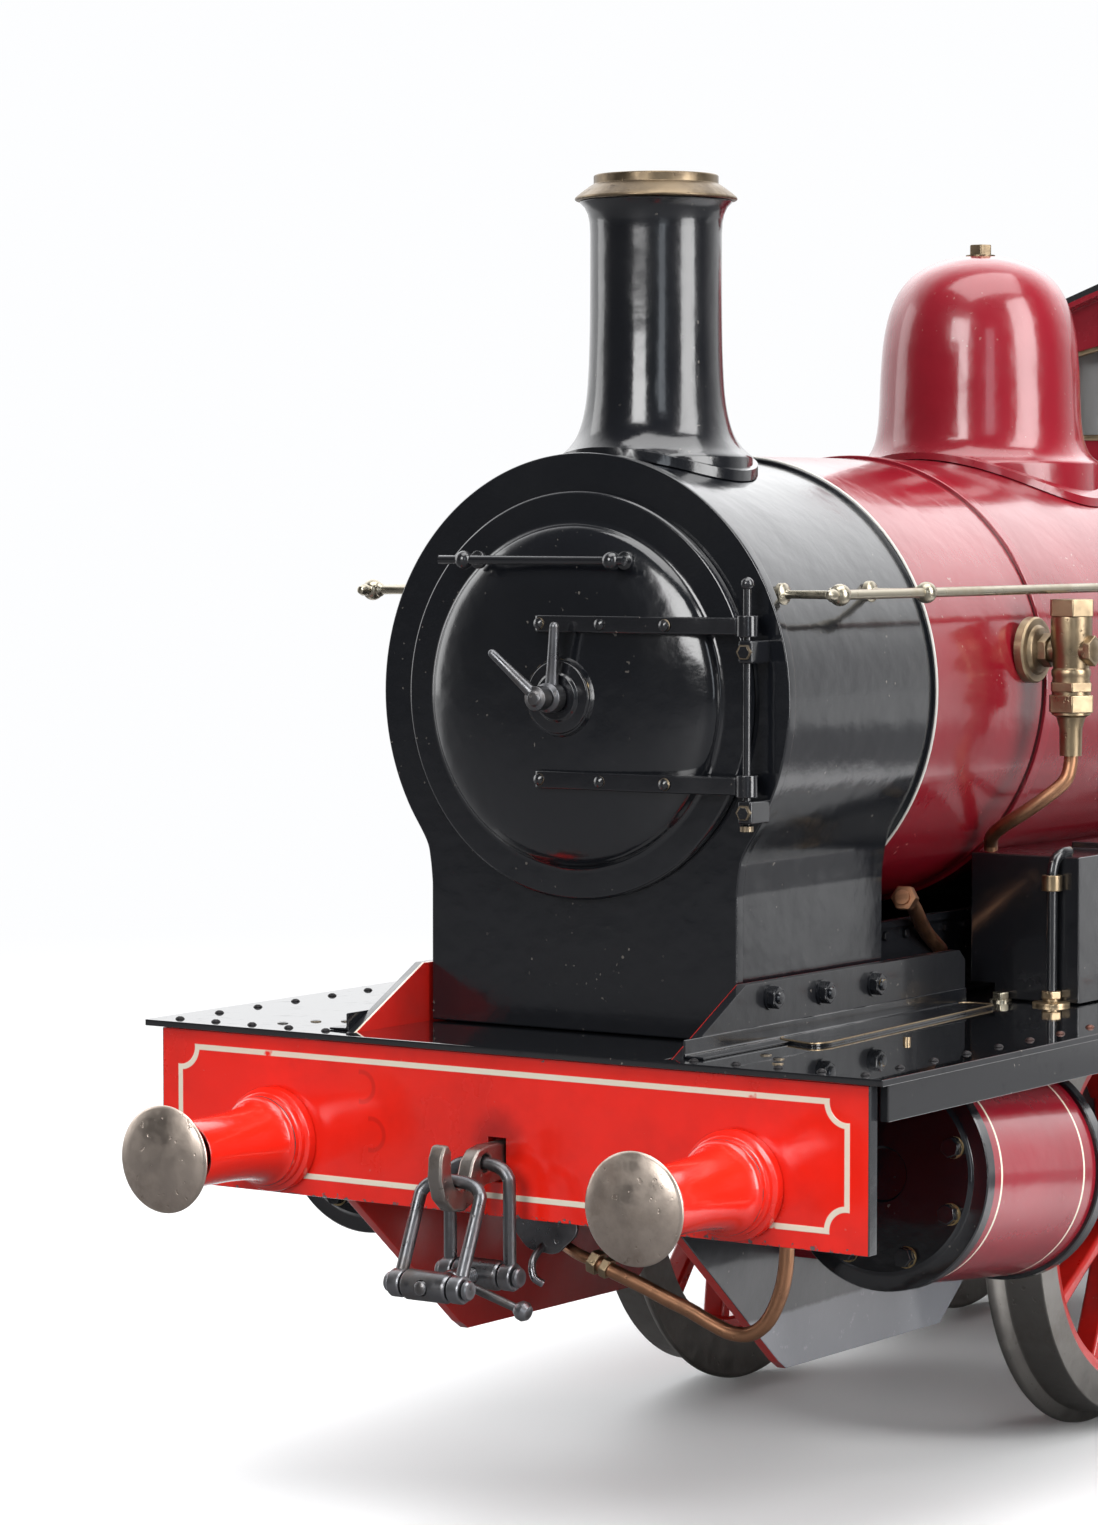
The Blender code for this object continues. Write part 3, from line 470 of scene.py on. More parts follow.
# %% The studio
scene = bpy.context.scene
scene.view_settings.view_transform = "Standard"
scene.world = bpy.data.worlds.new("studio")
scene.world.use_nodes = True
air = Paint(scene.world.node_tree)
direction = air.node("ShaderNodeTexCoord", {}, (), "Generated")
behind = air.node("vector", {"operation": "DOT_PRODUCT"}, (direction, tuple(-back)), "Value")
height = air.node("ShaderNodeSeparateXYZ", {}, (direction,), "Z")
room = air.step(behind, -0.1, 0.7, 0.0, 1.0)
glow = room * (0.98 + air.step(height, 0.08, 0.5, 0.0, 1.5)) + 0.08
seen = air.node("ShaderNodeLightPath", {}, (), "Is Camera Ray")
strength = seen * (1.0 - glow) + glow
sky = air.node("ShaderNodeBackground", {}, {"Color": (0.985, 0.99, 1.0, 1), "Strength": strength})
air.node("ShaderNodeOutputWorld", {}, {"Surface": sky})

floor_size = 12.0
alone()
bpy.ops.mesh.primitive_plane_add(size=floor_size)
floor = bpy.context.active_object
floor.name = "floor"
sweep = bpy.data.materials.new("studio sweep")
sweep.use_nodes = True
sheet = Paint(sweep.node_tree)
spot = sheet.node("ShaderNodeTexCoord", {}, (), "Object")
away = sheet.node("vector", {"operation": "LENGTH"}, (spot,), "Value")
seen = sheet.node("ShaderNodeLightPath", {}, (), "Is Camera Ray")
beyond = sheet.node("vector", {"operation": "DOT_PRODUCT"}, (spot, tuple(-back)), "Value")
mirrored_floor = sheet.step(away, 0.75, 1.2) * sheet.step(beyond, 0.1, 0.45) * 0.9
far = sheet.step(away, 0.35, 1.5) * seen + mirrored_floor * (1.0 - seen)
sideways = sheet.node("ShaderNodeSeparateXYZ", {}, (spot,), "X")
lit_side = sheet.step(sideways.calc("ABSOLUTE"), 0.1, 0.22) * sheet.step(away, 0.44, 0.3)
tone = sheet.mix(seen, sheet.mix(lit_side, (0.13, 0.13, 0.135), (0.75, 0.75, 0.76)), (0.86, 0.865, 0.87))
matt = sheet.node("ShaderNodeBsdfPrincipled", {}, {"Base Color": tone, "Roughness": 0.6})
white = sheet.node("ShaderNodeEmission", {}, {"Color": (0.985, 0.99, 1.0, 1), "Strength": 1.0})
blend = sheet.node("ShaderNodeMixShader", {}, (far, matt, white))
sheet.node("ShaderNodeOutputMaterial", {}, {"Surface": blend})
floor.data.materials.append(sweep)
floor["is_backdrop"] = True


def soft_box(name, azimuth, elevation, distance, wide, tall, watts, tint=(1, 1, 1)):
    """A rectangular lamp aimed at the smokebox."""
    lamp = bpy.data.lights.new(name, "AREA")
    lamp.shape, lamp.size, lamp.size_y, lamp.energy, lamp.color = "RECTANGLE", wide, tall, watts, tint
    holder = bpy.data.objects.new(name, lamp)
    scene.collection.objects.link(holder)
    a, e = math.radians(azimuth), math.radians(elevation)
    way = Vector((math.sin(a) * math.cos(e), -math.cos(a) * math.cos(e), math.sin(e)))
    target = PLACE @ Vector((0, 0.6, 0.3))
    holder.location = target + way * distance
    holder.rotation_euler = way.to_track_quat("Z", "Y").to_euler()


soft_box("side soft box", 88, 20, 1.9, 0.9, 1.9, 44)
soft_box("front soft box", 4, 20, 2.4, 0.9, 1.1, 30)
soft_box("overhead soft box", 60, 78, 1.9, 2.2, 1.4, 42)
soft_box("far side soft box", -78, 14, 2.4, 0.8, 1.4, 7)
soft_box("near soft box", 42, 12, 2.8, 0.5, 1.3, 5, (0.86, 0.93, 1.0))
print("five soft boxes and a white sweep")

# %% [markdown]
# Paint on a working model is never one colour. It pools, dulls where hands rub it and chips at edges down to
# the metal. A Python pass measures how sharply each corner of a mesh turns outward and stores it as an
# attribute, so every finish can wear along its own edges.

# %% Edge wear and the finish maker
import bmesh

FAINT_TURN, FULL_TURN = 0.15, 1.05
NEAR, FLAT_SHARE = 0.014, 0.35


def mark_edges(piece):
    """Writes how sharply the surface turns outward at each vertex, 1 at about 60 degrees.

    A value on a corner spreads over its faces, so corners whose faces reach far from the edge count as flat.
    """
    shape = bmesh.new()
    shape.from_mesh(piece.data)
    turns = [0.0] * len(shape.verts)
    for vertex in shape.verts:
        walls = [edge for edge in vertex.link_edges if len(edge.link_faces) == 2]
        folds = [(edge.calc_face_angle_signed(0.0), edge.index, edge) for edge in walls]
        if not folds or max(folds)[0] < FAINT_TURN:
            continue
        turn, _, edge = max(folds)
        way = (edge.verts[1].co - edge.verts[0].co).normalized()
        near = {v for face in vertex.link_faces for v in face.verts}
        reach = max((v.co - vertex.co).cross(way).length for v in near)
        turns[vertex.index] = min(turn / FULL_TURN, 1.0 if reach < NEAR else FLAT_SHARE)
    shape.free()
    layer = piece.data.attributes.new("edge", "FLOAT", "POINT")
    layer.data.foreach_set("value", turns)


SHADER = "ShaderNodeBsdfPrincipled"
CREAM = (0.8, 0.74, 0.6)


def finish(name, build, **constants):
    """A material: build(paint) returns the varying sockets, and constants go straight on the shader."""
    material = bpy.data.materials.new(name)
    material.use_nodes = True
    paint = Paint(material.node_tree)
    spot = paint.node("ShaderNodeTexCoord", {}, (), "Object")
    moved = paint.node("vector", {"operation": "SUBTRACT"}, (spot, tuple(DATUM)))
    paint.here = paint.node("vector", {"operation": "SCALE"}, {0: moved, "Scale": 1 / UNIT})
    split = paint.node("ShaderNodeSeparateXYZ", {}, (paint.here,))
    paint.x, paint.y, paint.z = (Socket(paint, split.output.node.outputs[i]) for i in range(3))
    paint.edge = paint.node("ShaderNodeAttribute", {"attribute_name": "edge"}, (), "Fac")
    maps = build(paint)
    height = maps.pop("Height", None)
    depth = maps.pop("Depth", 0.0004)
    if height:
        bump = {"Strength": 1.0, "Distance": depth * UNIT, "Height": height}
        maps["Normal"] = paint.node("bump", {}, bump)
    maps["Base Color"] = colour(maps["Base Color"])
    shader = paint.node(SHADER, {}, {**constants, **maps})
    paint.node("ShaderNodeOutputMaterial", {}, {"Surface": shader})
    return material


def enamel(tone, metal=(0.42, 0.3, 0.14), chips=0.5, gloss=0.16, dust=0.25):
    """Brushed and rubbed enamel: soft waves, specks, dull patches, and chips to the metal at edges."""

    def build(paint):
        cloud = paint.grain(5, 3)
        fine = paint.grain(46, 4, 0.6)
        specks = paint.step(paint.grain(150, 1, 0.4), 0.735, 0.765)
        sparse = paint.step(paint.grain(9, 2), 0.52, 0.62)
        chip = paint.step(paint.edge + (fine - 0.5) * 0.9, 1.02 - chips * 0.3, 1.1 - chips * 0.3)
        deep = paint.mix(paint.step(cloud, 0.35, 0.7, 0, 0.35), tone, [t * 0.62 for t in tone])
        dusty = paint.mix(specks * sparse * dust, deep, (0.42, 0.38, 0.33))
        base = paint.mix(chip, dusty, metal)
        rough = paint.step(cloud, 0.3, 0.75, gloss, gloss + 0.12) + fine * 0.05 + chip * 0.15
        bare = chip * 0.85
        waves = paint.grain(14, 2) * 0.6 + paint.grain(90, 2) * 0.07 - chip * 0.25
        return {"Base Color": base, "Roughness": rough, "Metallic": bare, "Height": waves, "Depth": 0.0035,
                "Coat Weight": (1.0 - chip) * 0.55}

    return build


SHINE = {"Coat Roughness": 0.09}
GLASSY = {"Coat Roughness": 0.02}
black = finish("black enamel", enamel((0.006, 0.0068, 0.009), chips=0.55, gloss=0.11), **SHINE)
crimson = finish("crimson enamel", enamel((0.245, 0.0075, 0.0175), (0.3, 0.18, 0.09), 0.2, 0.17), **SHINE)
print("enamels:", black.name, "and", crimson.name)

# %% [markdown]
# The front beam is the brightest thing on the engine. Its cream line has a concave notch at each corner, as a
# sign writer draws it with a fine brush. Such a line is paint, not shape, so it is sums on the surface's own
# coordinates: the outline of a box less a circle at each corner, and everything near that outline is cream.

# %% Beam and frame paint
LINE_HALF = 0.0034
BEAM_MIDDLE, LINED_HALF_WIDE, LINED_HALF_TALL, NOTCH = -0.0935, 0.4715, 0.0725, 0.026
REAR_BEAM = read("beam_rear")[0].y
HOOK_HEIGHT = -0.1
red_enamel = enamel((0.88, 0.017, 0.0066), (0.055, 0.05, 0.05), 0.42, 0.15, 0.2)


def size(value):
    return value.calc("ABSOLUTE")


def notched_line(paint, across, half_wide, up, half_tall, notch, half):
    """1 on a painted line round a rectangle with hollow corners; both offsets are from its middle."""
    over, above = size(across) - half_wide, size(up) - half_tall
    corner = (over * over + above * above) ** 0.5
    edge = size(over.calc("MAXIMUM", above).calc("MAXIMUM", notch - corner))
    return paint.step(edge, half - 0.0006, half + 0.0006, 1, 0)


def beam_paint(paint):
    maps = red_enamel(paint)
    worn = paint.step(paint.grain(26, 3), 0.3, 0.36)
    face = (paint.y < 0.004) + (paint.y > REAR_BEAM + 0.014)
    line = notched_line(paint, paint.x, LINED_HALF_WIDE, paint.z - BEAM_MIDDLE, LINED_HALF_TALL, NOTCH,
                        LINE_HALF)
    line = line * worn * face
    ends = size(paint.x) > 0.4984
    near_top = paint.step(paint.z, -0.01, -0.002, 0.3, 0.1)
    worst = paint.step(paint.z, -0.19, -0.172, 0.0, 0.36).calc("MINIMUM", near_top)
    chipped = paint.step(paint.grain(85, 4, 0.7) - worst, 0.53, 0.56)
    # Painted shade: a darker ring round the drawhook slot, where the hook meets the beam.
    slot = (paint.x * paint.x + (paint.z - HOOK_HEIGHT) * (paint.z - HOOK_HEIGHT)) ** 0.5
    hook_slot_shade = paint.step(slot + paint.grain(18, 4, 0.6) * 0.03, 0.065, 0.028)
    # Darkening: random grime patches, plus painted shade in a band along the top of the beam under the
    # footplate edge, and the painted shade round the hook slot.
    darkening = paint.step(paint.grain(4, 5, 0.7), 0.45, 0.75) * 0.22 + paint.step(paint.z, -0.02, 0.002) * 0.35
    darkening = darkening + hook_slot_shade * 0.6
    scuffs = 0
    for x, z, radius in ((-0.196, -0.052, 0.018), (-0.182, -0.108, 0.019)):
        gap = size(((paint.x - x) ** 2 + (paint.z - z) ** 2) ** 0.5 - radius)
        scuffs = scuffs + paint.step(gap, 0.0012, 0.0042, 0.28, 0) * (paint.x > x - 0.004)
    base = paint.mix(darkening + scuffs, maps["Base Color"], (0.2, 0.004, 0.003))
    base = paint.mix(line, base, CREAM)
    base = paint.mix(chipped, base, (0.12, 0.11, 0.11))
    maps["Base Color"] = paint.mix(ends, base, (0.02, 0.021, 0.024))
    maps["Height"] = maps["Height"] + line * 0.12 - chipped * 0.3
    return maps


def frame_paint(paint):
    maps = enamel((0.0085, 0.009, 0.011), (0.3, 0.29, 0.28), 0.45, 0.26)(paint)
    depth = size(paint.x)
    low = (paint.z < -0.185) * (depth < 0.2372)
    inner = (depth < 0.2258).calc("MAXIMUM", low * (paint.y < 0.3))
    # Painted shade: the red inside the frames darkens further back between them, with random oil stains over
    # it.
    depth_shade_and_oil = paint.step(paint.y, 0.2, 0.9) * 0.75 + paint.step(paint.grain(12, 4), 0.45, 0.8) * 0.25
    red = paint.mix(depth_shade_and_oil, (0.52, 0.012, 0.007), (0.085, 0.012, 0.008))
    # Painted light: the lowest strip of the frame's outer face turns grey with lighter patches, as the black
    # gloss looks where light falls on it.
    strip = paint.step(paint.z + paint.grain(60, 4, 0.7) * 0.006, -0.312, -0.318)
    outer = paint.mix(strip, maps["Base Color"], (0.15, 0.155, 0.17))
    outer = paint.mix(paint.step(paint.grain(45, 5, 0.75), 0.6, 0.66) * strip * 0.6, outer,
                      (0.26, 0.26, 0.27))
    base = paint.mix(inner, outer, red)
    line = (depth > 0.2246) * (depth < 0.2272) * (paint.z > 0.006) * (paint.y < 0.69) * (paint.x < 0)
    maps["Base Color"] = paint.mix(line * 0.8, base, CREAM)
    return maps


beam_red = finish("lined beam red", beam_paint, **SHINE)
frame_black = finish("frame black and red", frame_paint, **SHINE)
print("lining is", round(2 * LINE_HALF * UNIT * 1000, 2), "mm wide")

# %% [markdown]
# Each other colour is the same enamel with its own habits: lines on the cylinders, painted shade with some
# dirt beside the boiler bands, painted shade low on the barrel, a glassy footplate, and rust that only takes
# hold of rivets near the front.

# %% Buffer, wheel and cylinder paint
BOILER_RADIUS = 0.29
BOILER_Z = read("boiler")[1].z - BOILER_RADIUS
CYLINDER = Vector((0.373, 0.25, -0.14))
SLOPE = math.atan2(-0.135, 1.39)
AXLES, AXLE_Z = (1.0, 1.64, 2.28), -0.275
BANDS = (0.823, 1.4, 1.715, 2.176)


def along_drive(paint):
    return (paint.y - CYLINDER.y) * math.cos(SLOPE) + (paint.z - CYLINDER.z) * math.sin(SLOPE)


def cladding_paint(paint):
    maps = enamel((0.275, 0.008, 0.019), (0.3, 0.18, 0.09), 0.25, 0.14)(paint)
    line = 0
    for stand in (0.052, 0.262):
        line = line + paint.step(size(along_drive(paint) - stand), 0.0017, 0.0024, 1, 0)
    nick = paint.step(paint.grain(22, 3), 0.28, 0.33)
    maps["Base Color"] = paint.mix(line * nick, maps["Base Color"], CREAM)
    return maps


def barrel_paint(paint):
    maps = enamel((0.225, 0.0062, 0.0145), (0.3, 0.18, 0.09), 0.2, 0.12, 0.5)(paint)
    # Painted shade with some dirt: a dark line beside each edge of every band, widening lower down the
    # barrel.
    band_shade_and_dirt = 0
    for band in BANDS:
        spread_low = paint.step(paint.z, 0.6, 0.35, 0.0, 0.003)
        band_shade_and_dirt = band_shade_and_dirt + paint.step(size(size(paint.y - band) - 0.0122) - spread_low, 0.0008, 0.0036, 1.0, 0)
    # Painted shade: the lower half of the barrel is darkened in patches, fading out toward its middle.
    streaks = paint.step(paint.grain(7, 5, 0.7), 0.5, 0.8) * paint.step(paint.z, 0.15, 0.42, 0.55, 0.0)
    base = paint.mix(streaks, maps["Base Color"], (0.06, 0.004, 0.005))
    base = paint.mix(band_shade_and_dirt, base, (0.012, 0.006, 0.006))
    sooty_end = (paint.y > 2.215).calc("MAXIMUM", paint.step(paint.y, 0.5335, 0.5325))
    maps["Base Color"] = paint.mix(sooty_end, base, (0.01, 0.01, 0.011))
    return maps


def footplate_paint(paint):
    maps = enamel((0.0085, 0.009, 0.0105), (0.36, 0.22, 0.12), 0.7, 0.09, 0.35)(paint)
    maps["Depth"] = 0.0002
    maps["Roughness"] = maps["Roughness"] * 0.4
    maps["Coat Weight"] = 1.0 - paint.step(paint.grain(40, 4, 0.7), 0.55, 0.75) * 0.4
    return maps


def rivet_paint(paint):
    maps = enamel((0.012, 0.011, 0.012), (0.33, 0.13, 0.085), 2.6, 0.24, 0.3)(paint)
    kept = paint.step(paint.y, 0.95, 0.3).calc("MAXIMUM", paint.x < 0)
    maps["Base Color"] = paint.mix(kept, maps["Base Color"], (0.018, 0.017, 0.018))
    return maps


def wheel_paint(paint):
    maps = enamel((0.5, 0.0105, 0.0065), (0.1, 0.09, 0.08), 0.4, 0.24)(paint)
    darkening = paint.step(paint.grain(9, 5, 0.7), 0.45, 0.8) * 0.6
    maps["Base Color"] = paint.mix(darkening, maps["Base Color"], (0.1, 0.008, 0.005))
    maps["Roughness"] = maps["Roughness"] + darkening * 0.3
    return maps


buffer_red = finish("buffer red", enamel((0.86, 0.0185, 0.007), (0.1, 0.09, 0.09), 0.5, 0.17, 0.15), **SHINE)
cladding = finish("lined crimson cladding", cladding_paint, **SHINE)
barrel = finish("boiler crimson", barrel_paint, **SHINE)
wheel_red = finish("wheel red", wheel_paint, **SHINE)
worn_black = finish("worn black enamel", enamel((0.008, 0.0085, 0.0105), (0.24, 0.19, 0.13), 0.85, 0.15, 0.4),
                    **SHINE)
plate_black = finish("footplate black", footplate_paint, **GLASSY)
rivet_black = finish("worn rivet", rivet_paint, **SHINE)
print("boiler centre stands", round(BOILER_Z, 3), "above the beam")

# %% [markdown]
# Bare metals differ in three ways: the colour of their reflection, how much of them has tarnished, and which
# way they were finished. A drawn rod has streaks along it, a turned face has fine scratches. One recipe takes
# those as numbers, and rubbed edges come out brighter than the rest.

# %% Bare metals
def metal(tone, stain, tarnish=0.5, rough=(0.26, 0.44), scale=9, streaks=(40, 40, 40), bright=1.25):
    def build(paint):
        along = paint.node("mapping", {"vector_type": "POINT"}, {"Vector": paint.here, "Scale": streaks})
        lines = paint.grain(1.0, 3, 0.6, along)
        blot = paint.step(paint.grain(scale, 5, 0.68), 0.46, 0.7) * tarnish
        pits = paint.step(paint.grain(95, 2), 0.66, 0.72) * tarnish
        dark = (blot + pits * 0.5).calc("MINIMUM", 1.0)
        rubbed = paint.step(paint.edge, 0.25, 0.9) * 0.7
        base = paint.mix(dark, tone, stain)
        base = paint.mix(rubbed, base, [min(1.0, t * bright) for t in tone])
        roughness = paint.step(lines, 0.25, 0.75, *rough) + dark * 0.14
        height = lines * 0.25 + paint.grain(28, 3) * 0.35 - pits * 0.4
        return {"Base Color": base, "Roughness": roughness, "Metallic": 1.0 - dark * 0.3, "Height": height,
                "Depth": 0.0011}

    return build


buffer_steel = finish("scratched buffer steel", metal((0.46, 0.39, 0.335), (0.17, 0.13, 0.105), 0.7,
        (0.26, 0.46), 11))
tyre_steel = finish("tyre steel", metal((0.3, 0.285, 0.265), (0.11, 0.09, 0.075), 0.5, (0.28, 0.44)))
rod_steel = finish("rod steel", metal((0.43, 0.42, 0.4), (0.22, 0.19, 0.16), 0.4, (0.22, 0.38), 9,
                                      (90, 5, 90)))
oiled = finish("oiled dark steel", metal((0.15, 0.152, 0.16), (0.07, 0.05, 0.036), 0.7, (0.24, 0.42), 16,
                                         bright=2.2))
hook_steel = finish("brown hook steel", metal((0.27, 0.245, 0.225), (0.1, 0.07, 0.05), 0.7, (0.26, 0.46), 18,
                                              bright=1.9))
nickel = finish("worn nickel", metal((0.37, 0.335, 0.262), (0.24, 0.185, 0.11), 0.6, (0.22, 0.36), 12,
                                     (60, 4, 60)))
brass = finish("aged brass", metal((0.285, 0.215, 0.135), (0.12, 0.085, 0.055), 0.8, (0.26, 0.44), 14,
                                   bright=1.6))
cap_brass = finish("browned brass", metal((0.185, 0.14, 0.09), (0.06, 0.042, 0.028), 0.7, (0.28, 0.46), 14,
                                          bright=1.8))
copper = finish("tarnished copper", metal((0.36, 0.185, 0.105), (0.12, 0.062, 0.036), 0.8, (0.28, 0.46), 13,
                                          bright=1.5))
print("nine bare metals")

# %% [markdown]
# Plates and castings are already the right shape in the frame, but their corners are perfectly sharp and
# catch no light. A copy of each is cleaned, its flat faces are merged and its edges get a small bevel. The
# bevel costs little and does more for a painted plate than any texture.

# %% Sheet and castings from the frame
def refined(node, width=0.0014, segments=2):
    """A copy of a solid with bevelled edges, in drawing units."""
    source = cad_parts[node]
    alone()
    piece = bpy.data.objects.new(node, source.data.copy())
    scene.collection.objects.link(piece)
    piece.data.transform(PLACE.inverted())
    for layer in [a.name for a in piece.data.attributes if a.name in ("edge", "custom_normal")]:
        piece.data.attributes.remove(piece.data.attributes[layer])
    take(piece)
    bpy.ops.object.mode_set(mode="EDIT")
    bpy.ops.mesh.select_all(action="SELECT")
    bpy.ops.mesh.remove_doubles(threshold=0.00005)
    bpy.ops.mesh.dissolve_limited(angle_limit=math.radians(1))
    bpy.ops.mesh.normals_make_consistent(inside=False)
    bpy.ops.object.mode_set(mode="OBJECT")
    return bevelled(piece, width, segments)


def settle(piece, name, body, paint, slot, *stands_for):
    """Marks worn edges, keeps large flat faces shading flat beside their bevels, then fits the piece."""
    mark_edges(piece)
    take(piece)
    flat = piece.modifiers.new("flat", "WEIGHTED_NORMAL")
    flat.keep_sharp, flat.weight = True, 100
    bpy.ops.object.modifier_apply(modifier=flat.name)
    return fit(piece, name, body, paint, slot, *stands_for)


ENGINE = "engine"
for side in SIDES:
    settle(refined(f"frame_{side}"), f"frame_plate_{side}", ENGINE, frame_black, "black_paint",
           f"frame_{side}")
for end in ("front", "rear"):
    settle(refined(f"beam_{end}"), f"buffer_beam_{end}", ENGINE, beam_red, "signal_red_paint", f"beam_{end}")
settle(refined("footplate"), "footplate_sheet", ENGINE, plate_black, "black_paint", "footplate")
settle(refined("stretcher"), "frame_stretcher", ENGINE, frame_black, "black_paint", "stretcher")
print("plates with bevelled edges:", len(made))

# %% [markdown]
# The smokebox is a drum of thin plate on a waisted saddle, with a thicker front plate that stands a little
# proud. The outline is half a circle running into two reversed curves, so we draw it once as points and cut
# the round holes with lathe-turned cutters.


# %% Smokebox
def bar(matrix, radius, low, high, steps=64, edge=0.0):
    """A plain turned bar; edge rounds its two rims."""
    profile = [(0, low), (radius, low), (radius, high), (0, high)]
    return spun(profile, matrix, steps, edge)


def waisted(radius, leg):
    drum = arc(0, BOILER_Z, radius, 90, -30, 61)
    bend = flowing([drum[-4], drum[-1], (leg + 0.009, 0.231), (leg + 0.003, 0.208), (leg, 0.18)], 5)[6:]
    right = drum + bend + [(leg, 0.0105)]
    return right + [(-x, z) for x, z in right[::-1][:-1]]


def on_boiler(low, high, radius, steps=96):
    return bar(facing(0, 0, BOILER_Z), radius, low, high, steps)


CHIMNEY_Y, DOME_Y, VALVE_Y = 0.343, 1.173, 1.93
front_plate = plate(waisted(0.29, 0.219), "XZ", 0.1775, 0.1935, 0)
front_plate = bevelled(cut(front_plate, on_boiler(0.1, 0.3, 0.215)), 0.0022, 3)
drum = plate(waisted(0.284, 0.213), "XZ", 0.1915, 0.53, 0)
flue = bar(facing(0, CHIMNEY_Y, 0, "Z"), 0.062, 0.55, 0.8)
drum = bevelled(cut(drum, on_boiler(0.1, 0.6, 0.262), flue), 0.001)
shell = joined([front_plate, drum])
settle(shell, "smokebox_shell", ENGINE, black, "black_paint", "smokebox")

ring = spun(pairs(2878, -6, 2892, -6, 2904, 4, 2904, 18, 2878, 18), facing(0, 0.5305, BOILER_Z), 128, 0.0003,
            closed=True)
filler = spun(pairs(2820, -16, 2868, -16, 2880, -4, 2880, 10, 2820, 10), facing(0, 0.5305, BOILER_Z), 128,
              0.0003, closed=True)
settle(filler, "smokebox_joint_filler", ENGINE, black, "black_paint")
white_line = finish("white line", enamel((0.6, 0.58, 0.54), (0.3, 0.16, 0.12), 0.7, 0.35, 0.6), **SHINE)
settle(ring, "smokebox_joint_ring", ENGINE, white_line, "black_paint")

HINGE_X, HINGE_Y = 0.249, 0.15
lugs = []
for z in (0.271, 0.457):
    lugs.append(block(0.244, 0.263, 0.137, 0.18, z, z + 0.027, 0.003, 3))
    lugs.append(spun(pairs(0, -20, 95, -20, 95, 30, 0, 30), facing(0.2535, 0.1365, z + 0.0135, "-Y"), 6))
lugs.append(spun(pairs(0, 2620, 80, 2620, 80, 2680, 50, 2700, 50, 5450, 0, 5450),
                 facing(HINGE_X, HINGE_Y, 0, "Z"), 24))
lugs.append(ball(HINGE_X, HINGE_Y, 0.549, 0.008))
settle(joined(lugs), "door_hinge_lugs", ENGINE, worn_black, "black_paint")
print("smokebox, with a door hole", round(0.43 * UNIT * 1000), "mm across")

# %% [markdown]
# The door is pressed sheet: a flat rim, a tight shoulder and a shallow dome. That is one outline spun about
# its centre. The straps, eyes and rail are separate forgings, so they stay separate pieces that ride the
# door.

# %% Smokebox door
DOOR = "smokebox_door"
dish = flowing(pairs(2055, 1632, 1985, 1553, 1800, 1482, 1450, 1412, 1000, 1362, 480, 1338), 6)
profile = pairs(92, 1760, 2435, 1760, 2440, 1752, 2440, 1682, 2425, 1662, 2400, 1652, 2120, 1650, 2085, 1645)
profile += dish
profile += pairs(455, 1285, 435, 1280, 300, 1275, 92, 1275)
settle(spun(profile, facing(0, 0, BOILER_Z), 128, closed=True), "door_pressing", DOOR, black, "black_paint",
       DOOR)


def toward(start, end):
    """Places a lathe piece so that it grows from start toward end."""
    start, end = Vector(start), Vector(end)
    return Matrix.Translation(start) @ (end - start).to_track_quat("Z", "Y").to_matrix().to_4x4()


def hexagon(matrix, across, low, high, edge=0.0012):
    """A hexagonal bar end, such as a bolt head or a nut."""
    radius = across / 2 / math.cos(math.pi / 6)
    return bevelled(bar(matrix, radius, low, high, 6), edge, 2, 30)


straps = []
for low, high in ((0.301, 0.328), (0.487, 0.513)):
    middle = (low + high) / 2
    top = flowing(pairs(-340, 1300, -200, 1265, 600, 1262, 1500, 1285, 2000, 1350, 2400, 1400), 4)
    outline = [(-0.0385, 0.1385)] + top
    outline += pairs(2400, 1560, 2150, 1640, 600, 1440, -360, 1440)
    straps.append(plate(outline, "XY", low + 0.003, high - 0.003, 0.0022, 3))
    foot, crown = low + 0.0005, high - 0.0005
    eye = [(0.0057, foot), (0.013, foot), (0.013, crown), (0.0057, crown)]
    straps.append(spun(eye, facing(HINGE_X, HINGE_Y, 0, "Z"), 32, 0.0015, closed=True))
    for x in (-0.026, 0.06, 0.15):
        straps.append(spun(pairs(0, 0, 75, 0, 65, 32, 35, 50, 0, 55), facing(x, 0.1275, middle, "-Y"), 20))
settle(joined(straps), "door_straps", DOOR, worn_black, "black_paint")

rail_z, rail_y = 0.575, 0.118
rail = [rod([(-0.164, rail_y, rail_z), (0.1, rail_y, rail_z)], 0.0055, 6)]
for x in (-0.1285, 0.082):
    rail.append(ball(x, rail_y, rail_z, 0.0112))
    stalk = pairs(0, 0, 52, 0, 52, 220, 110, 235, 110, 300, 0, 300)
    rail.append(spun(stalk, facing(x, rail_y + 0.004, rail_z, "Y"), 24, 0.0012))
settle(joined(rail), "door_rail", DOOR, worn_black, "black_paint")

boss = spun(pairs(92, 1282, 440, 1282, 425, 1262, 300, 1255, 270, 1225, 92, 1225), facing(0, 0, BOILER_Z), 64,
            0.0008, closed=True)
settle(boss, "door_boss", DOOR, worn_black, "black_paint")


def lever(start, end, thick, thin, knob=0.0):
    """A tapered handle with a rounded end."""
    length = (Vector(end) - Vector(start)).length
    tip = length - thin
    profile = [(0, 0), (thick, 0), (thick * 0.86, length * 0.25), (thin, tip)]
    profile += [(thin * math.cos(a), tip + thin * math.sin(a)) for a in (0.4, 0.8, 1.2)] + [(0, length)]
    pieces = [spun(profile, toward(start, end), 24)]
    if knob:
        pieces.append(ball(*end, knob))
    return pieces


